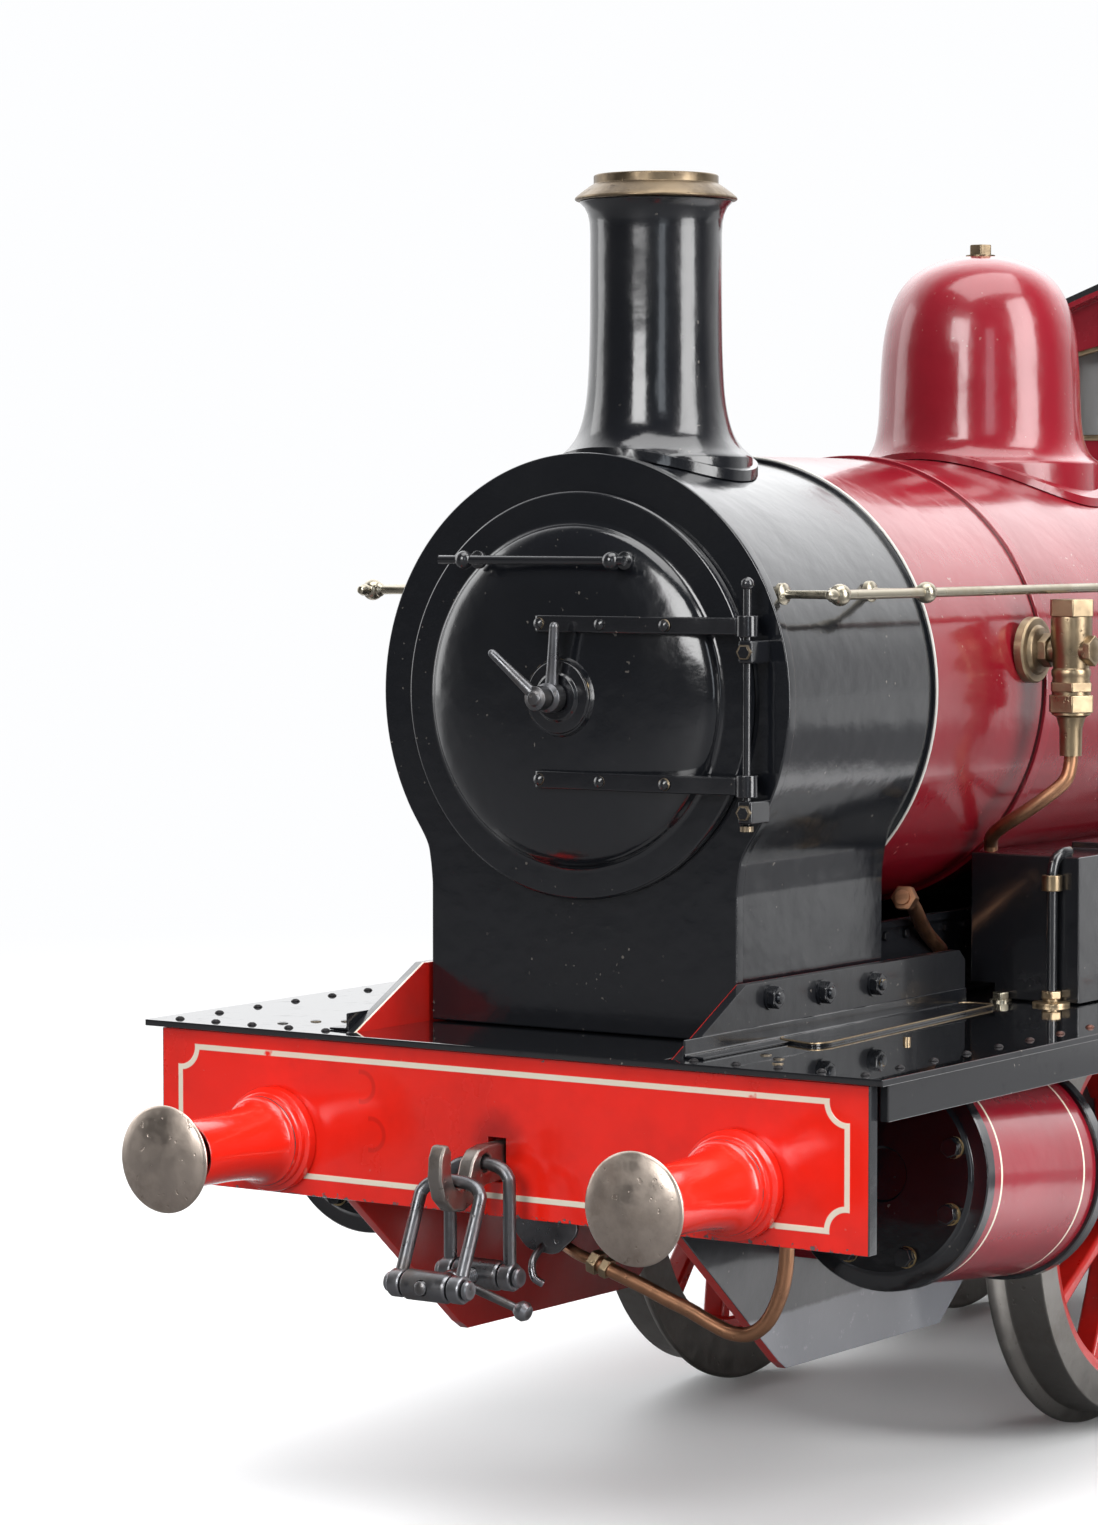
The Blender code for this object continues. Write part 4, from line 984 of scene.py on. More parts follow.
hub = pairs(0, 1000, 130, 1000, 180, 1040, 180, 1190, 150, 1215, 0, 1215)
inner = [spun(hub, facing(0, 0, BOILER_Z), 40, 0.001), bar(facing(0, 0, BOILER_Z), 0.0072, 0.119, 0.212, 24)]
inner += lever((0.001, 0.113, BOILER_Z + 0.01), (0.01, 0.106, BOILER_Z + 0.09), 0.0085, 0.0058)
inner.append(block(-0.058, 0.058, 0.2, 0.211, BOILER_Z - 0.01, BOILER_Z + 0.01, 0.002))
settle(joined(inner), "door_dart", "door_handle_inner", oiled, "dark_steel", "door_handle_inner")
hub = pairs(0, 740, 75, 745, 95, 775, 145, 790, 145, 950, 110, 970, 0, 970)
outer = [spun(hub, facing(0, 0, BOILER_Z), 40, 0.0008)]
outer += lever((-0.006, 0.084, BOILER_Z + 0.006), (-0.057, 0.068, BOILER_Z + 0.056), 0.0078, 0.0052)
settle(joined(outer), "door_lock_handle", "door_handle_outer", oiled, "dark_steel", "door_handle_outer")
print("door, straps, rail and two handles")

# %% [markdown]
# Chimney and dome are both turned, but each sits on a round boiler, so its foot has to follow that curve.
# We make the foot the way a pattern maker does: a disc on the turning is trimmed by one cylinder above and
# another below, both on the boiler's own axis.


# %% Chimney and dome
def saddled(profile, y, foot_radius, foot_low, top, under):
    """A turned body on a foot that follows the boiler."""
    body = spun(profile, facing(0, y, 0, "Z"), 96)
    foot = bar(facing(0, y, 0, "Z"), foot_radius, foot_low, 0.8, 96)
    foot = cut(foot, on_boiler(y - 0.4, y + 0.4, top, 160), how="INTERSECT")
    body = cut(body, foot, how="UNION")
    return cut(body, on_boiler(y - 0.5, y + 0.5, under, 160))


flare = flowing(pairs(1180, 7000, 1060, 7110, 955, 7270, 880, 7520, 836, 7850, 812, 8400, 805, 9000), 4)
profile = pairs(0, 6400, 1190, 6400, 1190, 6980) + flare
profile += pairs(805, 9700, 812, 9840, 832, 9940, 872, 10025, 925, 10080, 928, 10095, 0, 10095)
chimney = saddled(profile, CHIMNEY_Y, 0.125, 0.5, 0.297, 0.2855)
chimney = cut(chimney, bar(facing(0, CHIMNEY_Y, 0, "Z"), 0.062, 0.5, 1.1, 96))
settle(bevelled(chimney, 0.0025, 3, 40), "chimney_barrel", ENGINE, black, "black_paint", "chimney")

lip = pairs(620, 10104, 960, 10104, 984, 10112, 993, 10126, 986, 10146, 940, 10186, 880, 10232, 825, 10272,
            785, 10298, 762, 10306, 762, 10402, 752, 10418, 650, 10422, 620, 10405)
settle(spun(lip, facing(0, CHIMNEY_Y, 0, "Z"), 96, 0.0012, closed=True), "chimney_cap_ring", ENGINE,
       cap_brass, "aged_brass", "chimney_cap")

bell = flowing(pairs(1660, 7010, 1535, 7105, 1450, 7270, 1405, 7500, 1383, 7800, 1365, 8250, 1325, 8700,
                     1245, 9070, 1110, 9370, 900, 9600, 600, 9760, 300, 9835, 0, 9850), 5)
profile = pairs(0, 6000, 1680, 6000, 1680, 6980) + bell
dome = saddled(profile, DOME_Y, 0.182, 0.45, 0.3005, 0.2915)
settle(bevelled(dome, 0.0025, 3, 40), "dome_cover", ENGINE, crimson, "crimson_paint", "dome")
plug = joined([hexagon(facing(0, DOME_Y, 0, "Z"), 0.0285, 0.98, 1.0005),
               bar(facing(0, DOME_Y, 0, "Z"), 0.02, 0.98, 0.9865, 40)])
settle(plug, "dome_plug", ENGINE, cap_brass, "crimson_paint")
print("chimney and dome")

# %% [markdown]
# The boiler is one long drum with a square firebox under its back end. Cladding comes in sheets, and a
# narrow band covers each joint. The bands are what gives a plain cylinder its scale.

# %% Boiler and bands
BACKHEAD = 2.26
body = on_boiler(0.5315, BACKHEAD, BOILER_RADIUS, 128)
box = block(-0.2, 0.2, 1.695, 2.22, -0.2, 0.4, 0)
body = cut(body, box, how="UNION")
firehole = bar(facing(0, 0, 0.25), 0.048, BACKHEAD - 0.05, BACKHEAD + 0.1, 48)
regulator_hole = bar(facing(0, 0, 0.56), 0.0095, BACKHEAD - 0.03, BACKHEAD + 0.1, 24)
below = block(-0.3, 0.3, BACKHEAD - 0.036, BACKHEAD + 0.1, -0.3, 0.1, 0)
body = bevelled(cut(body, firehole, regulator_hole, below), 0.0016, 2)
settle(body, "boiler_cladding", ENGINE, barrel, "crimson_paint", "boiler")


def hoop(y, half=0.0105, low=0.289, high=0.2942):
    outline = [(low, -half), (high - 0.0008, -half), (high, -half + 0.001), (high, half - 0.001),
               (high - 0.0008, half), (low, half)]
    return spun(outline, facing(0, y, BOILER_Z), 128, closed=True)


settle(joined([hoop(y) for y in BANDS]), "boiler_bands", ENGINE, crimson, "crimson_paint")

profile = pairs(750, 6400, 750, 7080, 735, 7120, 680, 7180, 635, 7280, 600, 7450, 575, 7700, 570, 8000,
                585, 8060, 620, 8110, 620, 8210, 600, 8230, 480, 8230, 460, 8210, 460, 8120, 0, 8120)
cover = cut(spun([(0, 0.64)] + profile, facing(0, VALVE_Y, 0, "Z"), 64), on_boiler(1.7, 2.2, 0.2915, 160))
columns = []
for x in (-0.024, 0.024):
    stem = pairs(0, 8000, 140, 8000, 140, 8350, 120, 8370, 120, 8450, 140, 8470, 140, 8580, 115, 8620,
                 0, 8620)
    columns.append(spun(stem, facing(x, VALVE_Y, 0, "Z"), 32))
columns.append(rod([(-0.03, VALVE_Y, 0.84), (0.03, VALVE_Y, 0.84)], 0.0035))
settle(joined([bevelled(cover, 0.0012, 2)] + columns), "safety_valve_cover", ENGINE, brass, "aged_brass",
       "safety_valve")
print("boiler with", len(BANDS), "bands")

# %% [markdown]
# The feed valve is a stack of small turned and hexagonal fittings, each with its own job: flange, elbow,
# union nut and cap. Copying a real stack part by part is easier than sculpting one blob, and each nut then
# has real corners that shine.

# %% Feed valves
CLACK_X, CLACK_Y, CLACK_Z = 0.35, 0.77, 0.458


def mirrored(piece):
    copy = piece.copy()
    copy.data = piece.data.copy()
    scene.collection.objects.link(copy)
    return place(copy, MIRROR)


def both_sides(pieces, name, body, paint, slot, node=None):
    """Fits the pieces on the left and a mirrored copy on the right."""
    left = joined(pieces)
    right = mirrored(left)
    for side, piece in (("left", left), ("right", right)):
        stands_for = [node.format(side)] if node else []
        settle(piece, f"{name}_{side}", body.format(side), paint, slot, *stands_for)


x_axis, upright = facing(0, CLACK_Y, CLACK_Z, "X"), facing(CLACK_X, CLACK_Y, 0, "Z")
spindle = [(0, 0.29), (0.042, 0.29), (0.042, 0.3), (0.04, 0.3025), (0.032, 0.3035), (0.029, 0.3075),
           (0.027, 0.3085), (0.0175, 0.312), (0.015, 0.318), (0.015, CLACK_X), (0, CLACK_X)]
valve = [spun(spindle, x_axis, 48), hexagon(x_axis, 0.038, 0.311, 0.323)]
stem = pairs(0, 3250, 140, 3250, 145, 3600, 185, 3740, 245, 3770, 245, 3800, 245, 4170, 235, 4240, 250, 4270,
             250, 4330, 230, 4360, 245, 4600, 262, 4700, 262, 4980, 240, 5040, 0, 5040)
valve.append(spun(stem, upright, 40))
valve.append(hexagon(upright, 0.054, 0.38, 0.402))
valve.append(hexagon(upright, 0.05, 0.406, 0.418))
valve.append(hexagon(upright, 0.053, 0.501, 0.523))
valve.append(spun(pairs(0, 3440, 170, 3440, 170, 3800, 140, 3840, 0, 3880), facing(0, CLACK_Y, CLACK_Z, "X"),
                  32))
valve.append(hexagon(facing(0, CLACK_Y, CLACK_Z, "X"), 0.034, 0.374, 0.384))
both_sides(valve, "feed_valve", ENGINE, brass, "aged_brass", "clack_valve_{}")
path = [(CLACK_X, CLACK_Y, 0.34), (CLACK_X, CLACK_Y, 0.316), (0.345, 0.764, 0.293), (0.324, 0.749, 0.271),
        (0.292, 0.745, 0.249), (0.263, 0.752, 0.233), (0.242, 0.765, 0.22), (0.232, 0.779, 0.21),
        (0.23, 0.783, 0.2005)]
both_sides([rod(flowing(path, 5), 0.009, 6)], "feed_pipe", ENGINE, copper, "aged_brass")
print("feed valves and pipes")

# %% [markdown]
# Handrails on a locomotive run through ball-topped pillars. The rail is drawn wire, so it is a straight round
# bar, and the pillars are turned, with a waist that keeps them from looking like beads on a stick.

# %% Handrails
RAIL_X, RAIL_Z = 0.335, 0.536
pieces = [rod([(RAIL_X, 0.196, RAIL_Z), (RAIL_X, 2.196, RAIL_Z)], 0.006, 6)]
pieces.append(spun(pairs(0, 1860, 45, 1880, 70, 1940, 70, 2000, 0, 2000), facing(RAIL_X, 0, RAIL_Z), 24))
for y in (0.215, 0.42, 1.28, 2.12):
    radius = 0.284 if y < 0.5 else BOILER_RADIUS
    foot = Vector((math.sqrt(radius**2 - (RAIL_Z - BOILER_Z) ** 2) - 0.002, y, RAIL_Z))
    reach = RAIL_X - foot.x
    stalk = pairs(0, 0, 135, 0, 135, 60, 115, 85, 60, 105, 48, 160)
    stalk += [(0.0052, reach - 0.016), (0.0085, reach - 0.012), (0.0085, reach - 0.008), (0, reach - 0.006)]
    pieces.append(spun(stalk, toward(foot, (RAIL_X, y, RAIL_Z)), 28))
    pieces.append(ball(RAIL_X, y, RAIL_Z, 0.013, 28))
both_sides(pieces, "handrail_rod", ENGINE, nickel, "nickelled_steel", "handrail_{}")
print("handrails")

# %% [markdown]
# Buffers have a cast stock with stepped rings at its foot, and a turned steel head that slides in it. The
# head rides its own body, so a collar behind the face is part of the head and moves with it.

# %% Buffers
stock = pairs(205, -1480, 374, -1480, 374, -1714, 380, -1720, 390, -1720, 398, -1705, 400, -1480, 406, -1000,
              422, -720, 452, -480, 490, -350, 520, -310, 545, -300, 545, -225, 565, -218, 575, -205,
              575, -145, 600, -138, 627, -128, 635, -112, 635, -12, 100, -12, 100, -200, 205, -200)
head = pairs(0, -460, 170, -460, 185, -480, 185, -1760, 290, -1780, 290, -1960, 230, -2030, 350, -2052,
             605, -2075, 628, -2085, 635, -2102, 630, -2120, 600, -2145, 480, -2180, 330, -2206, 160, -2224,
             0, -2230)
collar = finish("buffer collar", enamel((0.014, 0.01, 0.009), (0.2, 0.15, 0.11), 0.8, 0.42, 0.5), **SHINE)
for end in ("front", "rear"):
    for side, way in SIDES.items():
        middle = (way * 0.327, 0 if end == "front" else REAR_BEAM + 0.018, -0.124)
        outward = Matrix.Rotation(0 if end == "front" else math.pi, 4, "Z")
        at = Matrix.Translation(middle) @ outward @ facing(0, 0, 0)
        node, riding = f"buffer_stock_{end}_{side}", f"buffer_head_{end}_{side}"
        settle(spun(stock, at, 72, closed=True), f"stock_{end}_{side}", ENGINE, buffer_red,
               "signal_red_paint", node)
        settle(spun(head, at, 80), f"face_{end}_{side}", riding, buffer_steel, "bright_steel", riding)
        sleeve = pairs(180, -1750, 340, -1755, 365, -1780, 365, -1960, 330, -1990, 180, -2000)
        settle(spun(sleeve, at, 56, closed=True), f"collar_{end}_{side}", riding, collar, "dark_steel")
print("four buffers")

# %% [markdown]
# The coupling is two bent loops hung on a drawhook, joined by a screw. Each loop is bar of one thickness bent
# along a smooth curve, ending in flattened eyes. The nuts and the screw are turned.

# %% Hooks and coupling
LINK_Y, HOOK_Z, NUT_Z = -0.035, -0.122, -0.252
for end in ("front", "rear"):
    settle(refined(f"drawhook_{end}", 0.0034, 3), f"hook_forging_{end}", f"drawhook_{end}", hook_steel,
           "dark_steel", f"drawhook_{end}")


def hanging_loop(top_y, top_z, low_y):
    half = pairs(0, 0, 105, 35, 200, 120, 285, 300, 350, 600, 400, 1100, 420, 1700, 420, 5000, 420, 9400)
    path = [(x, top_y + (low_y - top_y) * t, top_z + (NUT_Z - top_z) * t) for x, t in half]
    path = [(-x, y, z) for x, y, z in path[::-1]] + path[1:]
    loop = [rod(flowing(path, 4), 0.0078, 6)]
    for side in (1, -1):
        eye = pairs(75, -82, 150, -82, 165, -60, 165, 60, 150, 82, 75, 82)
        loop.append(spun(eye, facing(side * 0.042, low_y, NUT_Z, "X"), 36, closed=True))
    return joined(loop)


settle(hanging_loop(LINK_Y, HOOK_Z, -0.034), "coupling_rear_loop", "coupling", oiled, "dark_steel",
       "coupling_link")
settle(hanging_loop(-0.0868, -0.137, -0.136), "coupling_front_loop", "coupling", oiled, "dark_steel",
       "coupling_shackle")
for name, y in (("front", -0.136), ("rear", -0.034)):
    trunnion = pairs(0, -580, 100, -580, 115, -560, 115, -525, 72, -510, 70, -330, 150, -310, 178, -270,
                     178, 270, 150, 310, 70, 330, 72, 510, 115, 525, 115, 560, 100, 580, 0, 580)
    nut = cut(spun(trunnion, facing(0, y, NUT_Z, "X"), 36), bar(facing(0, 0, NUT_Z), 0.0095, -0.3, 0.1, 24))
    settle(shade(nut), f"coupling_trunnion_{name}", "coupling", oiled, "dark_steel", f"coupling_nut_{name}")
thread = [(0, -0.158)]
for k in range(36):
    y = -0.156 + k * 0.004
    thread += [(0.007, y), (0.0083, y + 0.0013), (0.0083, y + 0.0023), (0.007, y + 0.0036)]
thread += [(0.007, -0.0125), (0, -0.012)]
ferrule = pairs(0, -960, 110, -960, 128, -930, 128, -770, 110, -740, 0, -740)
screw = [spun(thread, facing(0, 0, NUT_Z), 28), spun(ferrule, facing(0, 0, NUT_Z), 32)]
screw += lever((0.004, -0.085, NUT_Z - 0.001), (0.09, -0.085, NUT_Z - 0.0255), 0.0062, 0.005)
knob = pairs(0, -100, 70, -85, 112, -30, 118, 30, 85, 85, 0, 105)
screw.append(spun(knob, toward((0.0945, -0.085, NUT_Z - 0.0266), (0.2, -0.085, NUT_Z - 0.055)), 28))
settle(joined(screw), "coupling_screw_and_bar", "coupling_screw", oiled, "dark_steel", "coupling_screw")
print("coupling hangs from z", HOOK_Z, "to", NUT_Z)

# %% [markdown]
# The outside cylinders slope down toward the driving axle. Everything on that line shares one placing
# matrix, so cover, cladding, guide bars and rods cannot drift apart.

# %% Cylinders
def on_drive(x, y=CYLINDER.y, z=CYLINDER.z):
    return Matrix.Translation((x, y, z)) @ Matrix.Rotation(SLOPE - math.pi / 2, 4, "X")


def drive_block(x0, x1, s0, s1, h0, h1, edge=0.0015):
    piece = block(x0, x1, s0, s1, h0, h1, edge)
    turned = Matrix.Translation((0, CYLINDER.y, CYLINDER.z)) @ Matrix.Rotation(SLOPE, 4, "X")
    return place(piece, turned)


def bolt_ring(matrix, circle, count, across, low, high, start=0.0):
    head = joined([hexagon(Matrix(), across, low, high, 0.0009),
                   bar(Matrix(), across * 0.62, low, low + 0.0022, 20)])
    turns = [Matrix.Rotation(start + math.tau * k / count, 4, "Z") for k in range(count)]
    out_to_circle = Matrix.Translation((circle, 0, 0))
    return spread(head, [matrix @ (turn @ out_to_circle) for turn in turns])


CYL = CYLINDER.x
FRAME_FACE = 0.2395


def between_frames():
    """Everything inboard of the frame, to cut away from a cylinder."""
    return block(0.05, FRAME_FACE, 0, 1, -1, 1, 0)


cover = pairs(0, 60, 300, 60, 330, 20, 1140, 15, 1165, 40, 1200, 65, 1355, 72, 1370, 90, 1370, 245, 1355, 262,
              750, 262, 700, 300, 0, 300)
front_cover = cut(spun(cover, on_drive(CYL), 96), between_frames())
front_bolts = bolt_ring(on_drive(CYL) @ Matrix.Rotation(math.pi, 4, "X"), 0.101, 8, 0.021, -0.002, 0.011,
                        math.pi / 8)
both_sides([shade(front_cover), front_bolts], "cylinder_front_cover", ENGINE, black, "black_paint")
barrel_part = bar(on_drive(CYL), 0.1315, 0.0265, 0.2925, 96)
saddle = drive_block(FRAME_FACE, CYL, 0.035, 0.285, -0.11, 0.105, 0)
barrel_part = cut(barrel_part, saddle, how="UNION")
barrel_part = cut(barrel_part, bar(on_drive(CYL), 0.07, 0.0, 0.4, 64), between_frames())
both_sides([bevelled(barrel_part, 0.001)], "cylinder_cladding", ENGINE, cladding, "crimson_paint",
           "cylinder_{}")
cover = pairs(140, 2900, 1315, 2930, 1355, 2932, 1370, 2948, 1370, 3120, 1355, 3138, 1180, 3145, 460, 3175,
              360, 3200, 335, 3240, 335, 3400, 300, 3420, 300, 3500, 280, 3520, 140, 3520)
rear_cover = cut(spun(cover, on_drive(CYL), 96, closed=True), between_frames())
rear_bolts = bolt_ring(on_drive(CYL), 0.102, 8, 0.019, 0.313, 0.325, math.pi / 8)
both_sides([shade(rear_cover), rear_bolts], "cylinder_rear_cover", ENGINE, black, "black_paint")
cock = pairs(0, -1600, 45, -1600, 50, -1480, 90, -1460, 90, -1380, 60, -1360, 60, -1280, 0, -1280)
cocks = []
for s in (0.045, 0.275):
    at = on_drive(CYL) @ Matrix.Translation((0, 0, s)) @ Matrix.Rotation(-math.pi / 2, 4, "X")
    cocks.append(spun(cock, at @ Matrix.Rotation(math.pi, 4, "X") @ Matrix.Scale(-1, 4, (0, 0, 1)), 20))
both_sides(cocks, "drain_cocks", ENGINE, brass, "aged_brass")
for side in SIDES:
    settle(refined(f"guide_bars_{side}", 0.0016), f"slide_bars_{side}", ENGINE, rod_steel, "bright_steel",
           f"guide_bars_{side}")
print("cylinders at a slope of", round(math.degrees(SLOPE), 1), "degrees")

# %% [markdown]
# The motion turns piston strokes into wheel turns. Each rod is a forged bar with round bosses and a fluted
# face, so its outline is one plate and the flute is a second, thinner cut. Rod and wheel share the crank's
# direction, which differs by a quarter turn from side to side.

# %% Crossheads and rods
MAIN_ROD, SIDE_ROD, CRANK, PIN_RADIUS = (0.3865, 0.3985), (0.341, 0.353), 0.1, 0.013
ROD_LENGTH = 0.623
DRIVE = math.hypot(AXLES[1] - CYLINDER.y, AXLE_Z - CYLINDER.z)
CRANK_WAY = {"left": (math.sin(SLOPE), -math.cos(SLOPE)), "right": (-math.cos(SLOPE), -math.sin(SLOPE))}
PISTON_AT = {"left": DRIVE - math.sqrt(ROD_LENGTH**2 - CRANK**2), "right": DRIVE - CRANK - ROD_LENGTH}


def gudgeon(side):
    s = PISTON_AT[side]
    return Vector((0, CYLINDER.y + s * math.cos(SLOPE), CYLINDER.z + s * math.sin(SLOPE)))


def crank_end(side, axle):
    y, z = CRANK_WAY[side]
    return Vector((0, axle + CRANK * y, AXLE_Z + CRANK * z))


def boss(at, radius, low, high, hole=0.0, edge=0.0016):
    profile = [(hole, low), (radius, low), (radius, high), (hole, high)]
    return spun(profile, facing(0, at.y, at.z, "X"), 56, edge, closed=hole > 0)


def bar_between(a, b, half_a, half_b, low, high, edge=0.0014):
    line = (b - a).normalized()
    square = Vector((0, -line.z, line.y))
    corners = [a + square * half_a, b + square * half_b, b - square * half_b, a - square * half_a]
    return plate([(p.y, p.z) for p in corners], "YZ", low, high, edge)


def fluted(a, b, half, low, high):
    """A bar with a groove milled along its outer face."""
    line = (b - a).normalized()
    bar_piece = bar_between(a, b, half, half, low, high, 0)
    groove = bar_between(a + line * 0.045, b - line * 0.045, half * 0.5, half * 0.5, high - 0.0035,
                         high + 0.01, 0)
    return bevelled(cut(bar_piece, groove), 0.001, 2)


for side, way in SIDES.items():
    flip = Matrix.Scale(way, 4, (1, 0, 0))
    at = gudgeon(side)
    along = on_drive(CYL)
    s = PISTON_AT[side]
    piston = s - (PISTON_AT["right"] + CRANK) + 0.16
    pieces = [bar(along, 0.0685, piston - 0.014, piston + 0.014, 64, 0.002), bar(along, 0.012, piston, s, 32)]
    pieces.append(drive_block(0.3628, 0.3832, s - 0.038, s + 0.038, -0.0385, 0.0385, 0.003))
    pieces.append(spun([(0, s - 0.062), (0.018, s - 0.062), (0.02, s - 0.058), (0.02, s - 0.034),
                        (0, s - 0.03)], along, 32))
    pieces.append(boss(at, 0.0088, 0.37, 0.4005))
    pieces.append(hexagon(facing(0, at.y, at.z, "X"), 0.025, 0.399, 0.4045))
    settle(place(joined(pieces), flip), f"crosshead_and_piston_{side}", f"crosshead_{side}", rod_steel,
           "bright_steel", f"crosshead_{side}")

    end = crank_end(side, AXLES[1])
    low, high = MAIN_ROD
    pieces = [fluted(at, end, 0.014, low + 0.0015, high - 0.0015), boss(at, 0.022, low, high, 0.0105),
              boss(end, 0.032, low, high)]
    pieces.append(boss(end, 0.0175, low + 0.001, high + 0.005))
    line = (end - at).normalized()
    pieces.append(block(low, high, -0.03, 0.03, -0.034, 0.034, 0.003))
    place(pieces[-1], Matrix.Translation(end) @ Matrix.Rotation(math.atan2(line.z, line.y), 4, "X"))
    oil = end + Vector((0, -line.z, line.y)) * 0.034
    pieces.append(spun(pairs(0, -40, 70, -40, 70, 70, 45, 90, 0, 90),
                       toward(((low + high) / 2, oil.y, oil.z), ((low + high) / 2, oil.y - line.z,
            oil.z + line.y)), 20))
    settle(place(joined(pieces), flip), f"main_rod_{side}", f"connecting_rod_{side}", rod_steel,
           "bright_steel", f"connecting_rod_{side}")

    low, high = SIDE_ROD
    pins = [crank_end(side, y) for y in AXLES]
    pieces = [fluted(a, b, 0.014, low + 0.001, high - 0.001) for a, b in zip(pins, pins[1:])]
    solid = joined(pieces)
    for pin in pins:
        solid = cut(solid, bar(facing(0, pin.y, pin.z, "X"), 0.022, 0.3, 0.5, 32))
    pieces = [solid] + [boss(pin, 0.029, low, high, PIN_RADIUS + 0.0012) for pin in pins]
    cup = pairs(0, 200, 75, 200, 75, 360, 50, 385, 0, 385)
    pieces += [spun(cup, facing((low + high) / 2, pin.y, pin.z, "Z"), 20) for pin in pins]
    settle(place(joined(pieces), flip), f"side_rod_{side}", f"coupling_rod_{side}", rod_steel, "bright_steel",
           f"coupling_rod_{side}")
print("stroke is", round(2 * CRANK * UNIT * 1000), "mm")

# %% [markdown]
# A cast wheel has a steel tyre, a painted rim, ten tapering spokes, a hub and a boss for the crank pin. We
# model one spoke, spin copies of it round the hub, and copy the finished wheel to each axle.

# %% Wheels and axles
BACK, FACE = 0.262, 0.335
AXLE_NAMES = ("front", "middle", "rear")


def wheel_centre(side, _):
    turn = math.atan2(CRANK_WAY[side][1], CRANK_WAY[side][0])
    spot = facing(0, 0, 0, "X")
    rim = pairs(2140, 2860, 2140, 3240, 2160, 3265, 2200, 3300, 2340, 3325, 2340, 2800, 2180, 2820)
    pieces = [spun(rim, spot, 96, closed=True)]
    hub = pairs(315, 2650, 560, 2650, 600, 2700, 600, 3300, 560, 3370, 480, 3380, 315, 3380)
    pieces.append(spun(hub, spot, 64, 0.002, closed=True))
    spoke = plate(pairs(500, -125, 1300, -88, 2180, -110, 2180, 110, 1300, 88, 500, 125), "YZ", 0.287, 0.321,
                  0.0055, 4)
    turns = [Matrix.Rotation(turn + math.tau * (k + 0.5) / 10, 4, "X") for k in range(10)]
    pieces.append(spread(spoke, turns))
    web = [(0.046 * math.cos(a), 0.046 * math.sin(a)) for a in map(math.radians, range(60, 301, 20))]
    web += [(CRANK + 0.034 * math.cos(a), 0.034 * math.sin(a)) for a in map(math.radians, range(-75, 76, 15))]
    pieces.append(place(plate(web, "YZ", 0.284, 0.3368, 0.004, 3), Matrix.Rotation(turn, 4, "X")))
    weight = [(0.217 * math.cos(a), 0.217 * math.sin(a)) for a in map(math.radians, range(150, 211, 6))]
    weight += [(0.15 * math.cos(a), 0.15 * math.sin(a)) for a in map(math.radians, (206, 154))]
    pieces.append(place(plate(weight, "YZ", 0.29, 0.33, 0.003, 2), Matrix.Rotation(turn, 4, "X")))
    return joined(pieces)


def wheel_steel(side, driven):
    spot = facing(0, 0, 0, "X")
    tread = [(0.233, BACK), (0.29, BACK), (0.2945, BACK + 0.0012), (0.2968, BACK + 0.0045), (0.2965, 0.27),
             (0.293, 0.2755), (0.286, 0.279), (0.28, 0.2818), (0.2785, 0.285), (0.2772, FACE - 0.003),
             (0.2755, FACE - 0.0004), (0.274, FACE), (0.235, FACE), (0.233, FACE - 0.0015)]
    pieces = [spun(tread, spot, 128, closed=True)]
    y, z = CRANK_WAY[side]
    pin = facing(0, CRANK * y, CRANK * z, "X")
    if driven:
        crank = pairs(0, 3300, 220, 3300, 220, 3390, 128, 3395, 128, 3825, 0, 3825)
    else:
        crank = pairs(0, 3300, 220, 3300, 220, 3390, 128, 3395, 128, 3548, 190, 3550, 190, 3570, 175, 3578,
                      0, 3578)
    pieces.append(spun(crank, pin, 40))
    return joined(pieces)


for side, way in SIDES.items():
    flip = Matrix.Scale(way, 4, (1, 0, 0))
    red_part = (wheel_centre, "centre", wheel_red, "wheel_red_paint")
    steel_part = (wheel_steel, "tyre", tyre_steel, "bright_steel")
    for make, name, paint, slot in (red_part, steel_part):
        for label, y in zip(AXLE_NAMES, AXLES):
            piece = place(make(side, label == "middle"), Matrix.Translation((0, y, AXLE_Z)) @ flip)
            stands_for = [f"wheel_{label}_{side}"] if name == "centre" else []
            settle(piece, f"wheel_{name}_{label}_{side}", f"wheelset_{label}", paint, slot, *stands_for)
for label, y in zip(AXLE_NAMES, AXLES):
    half = pairs(290, 3355, 300, 3335, 300, 2550, 285, 2500, 285, 1500, 265, 1400)
    outline = [(0, -0.3355)] + [(r, -x) for r, x in half] + half[::-1] + [(0, 0.3355)]
    settle(spun(outline, facing(0, y, AXLE_Z, "X"), 56), f"axle_bar_{label}", f"wheelset_{label}", tyre_steel,
           "bright_steel", f"axle_{label}")
print("six wheels on three axles")

# %% [markdown]
# Rivets, bolts and nuts tell the eye how big the engine is. Each is modelled once, and copies are set out
# along a line at an even pitch, as a marking gauge would. Rivet heads are only a few faces, because there are
# over a hundred.

# %% Rivets, bolts and plates on the footplate
TOP = 0.009


def places(points):
    return [Matrix.Translation(p) for p in points]


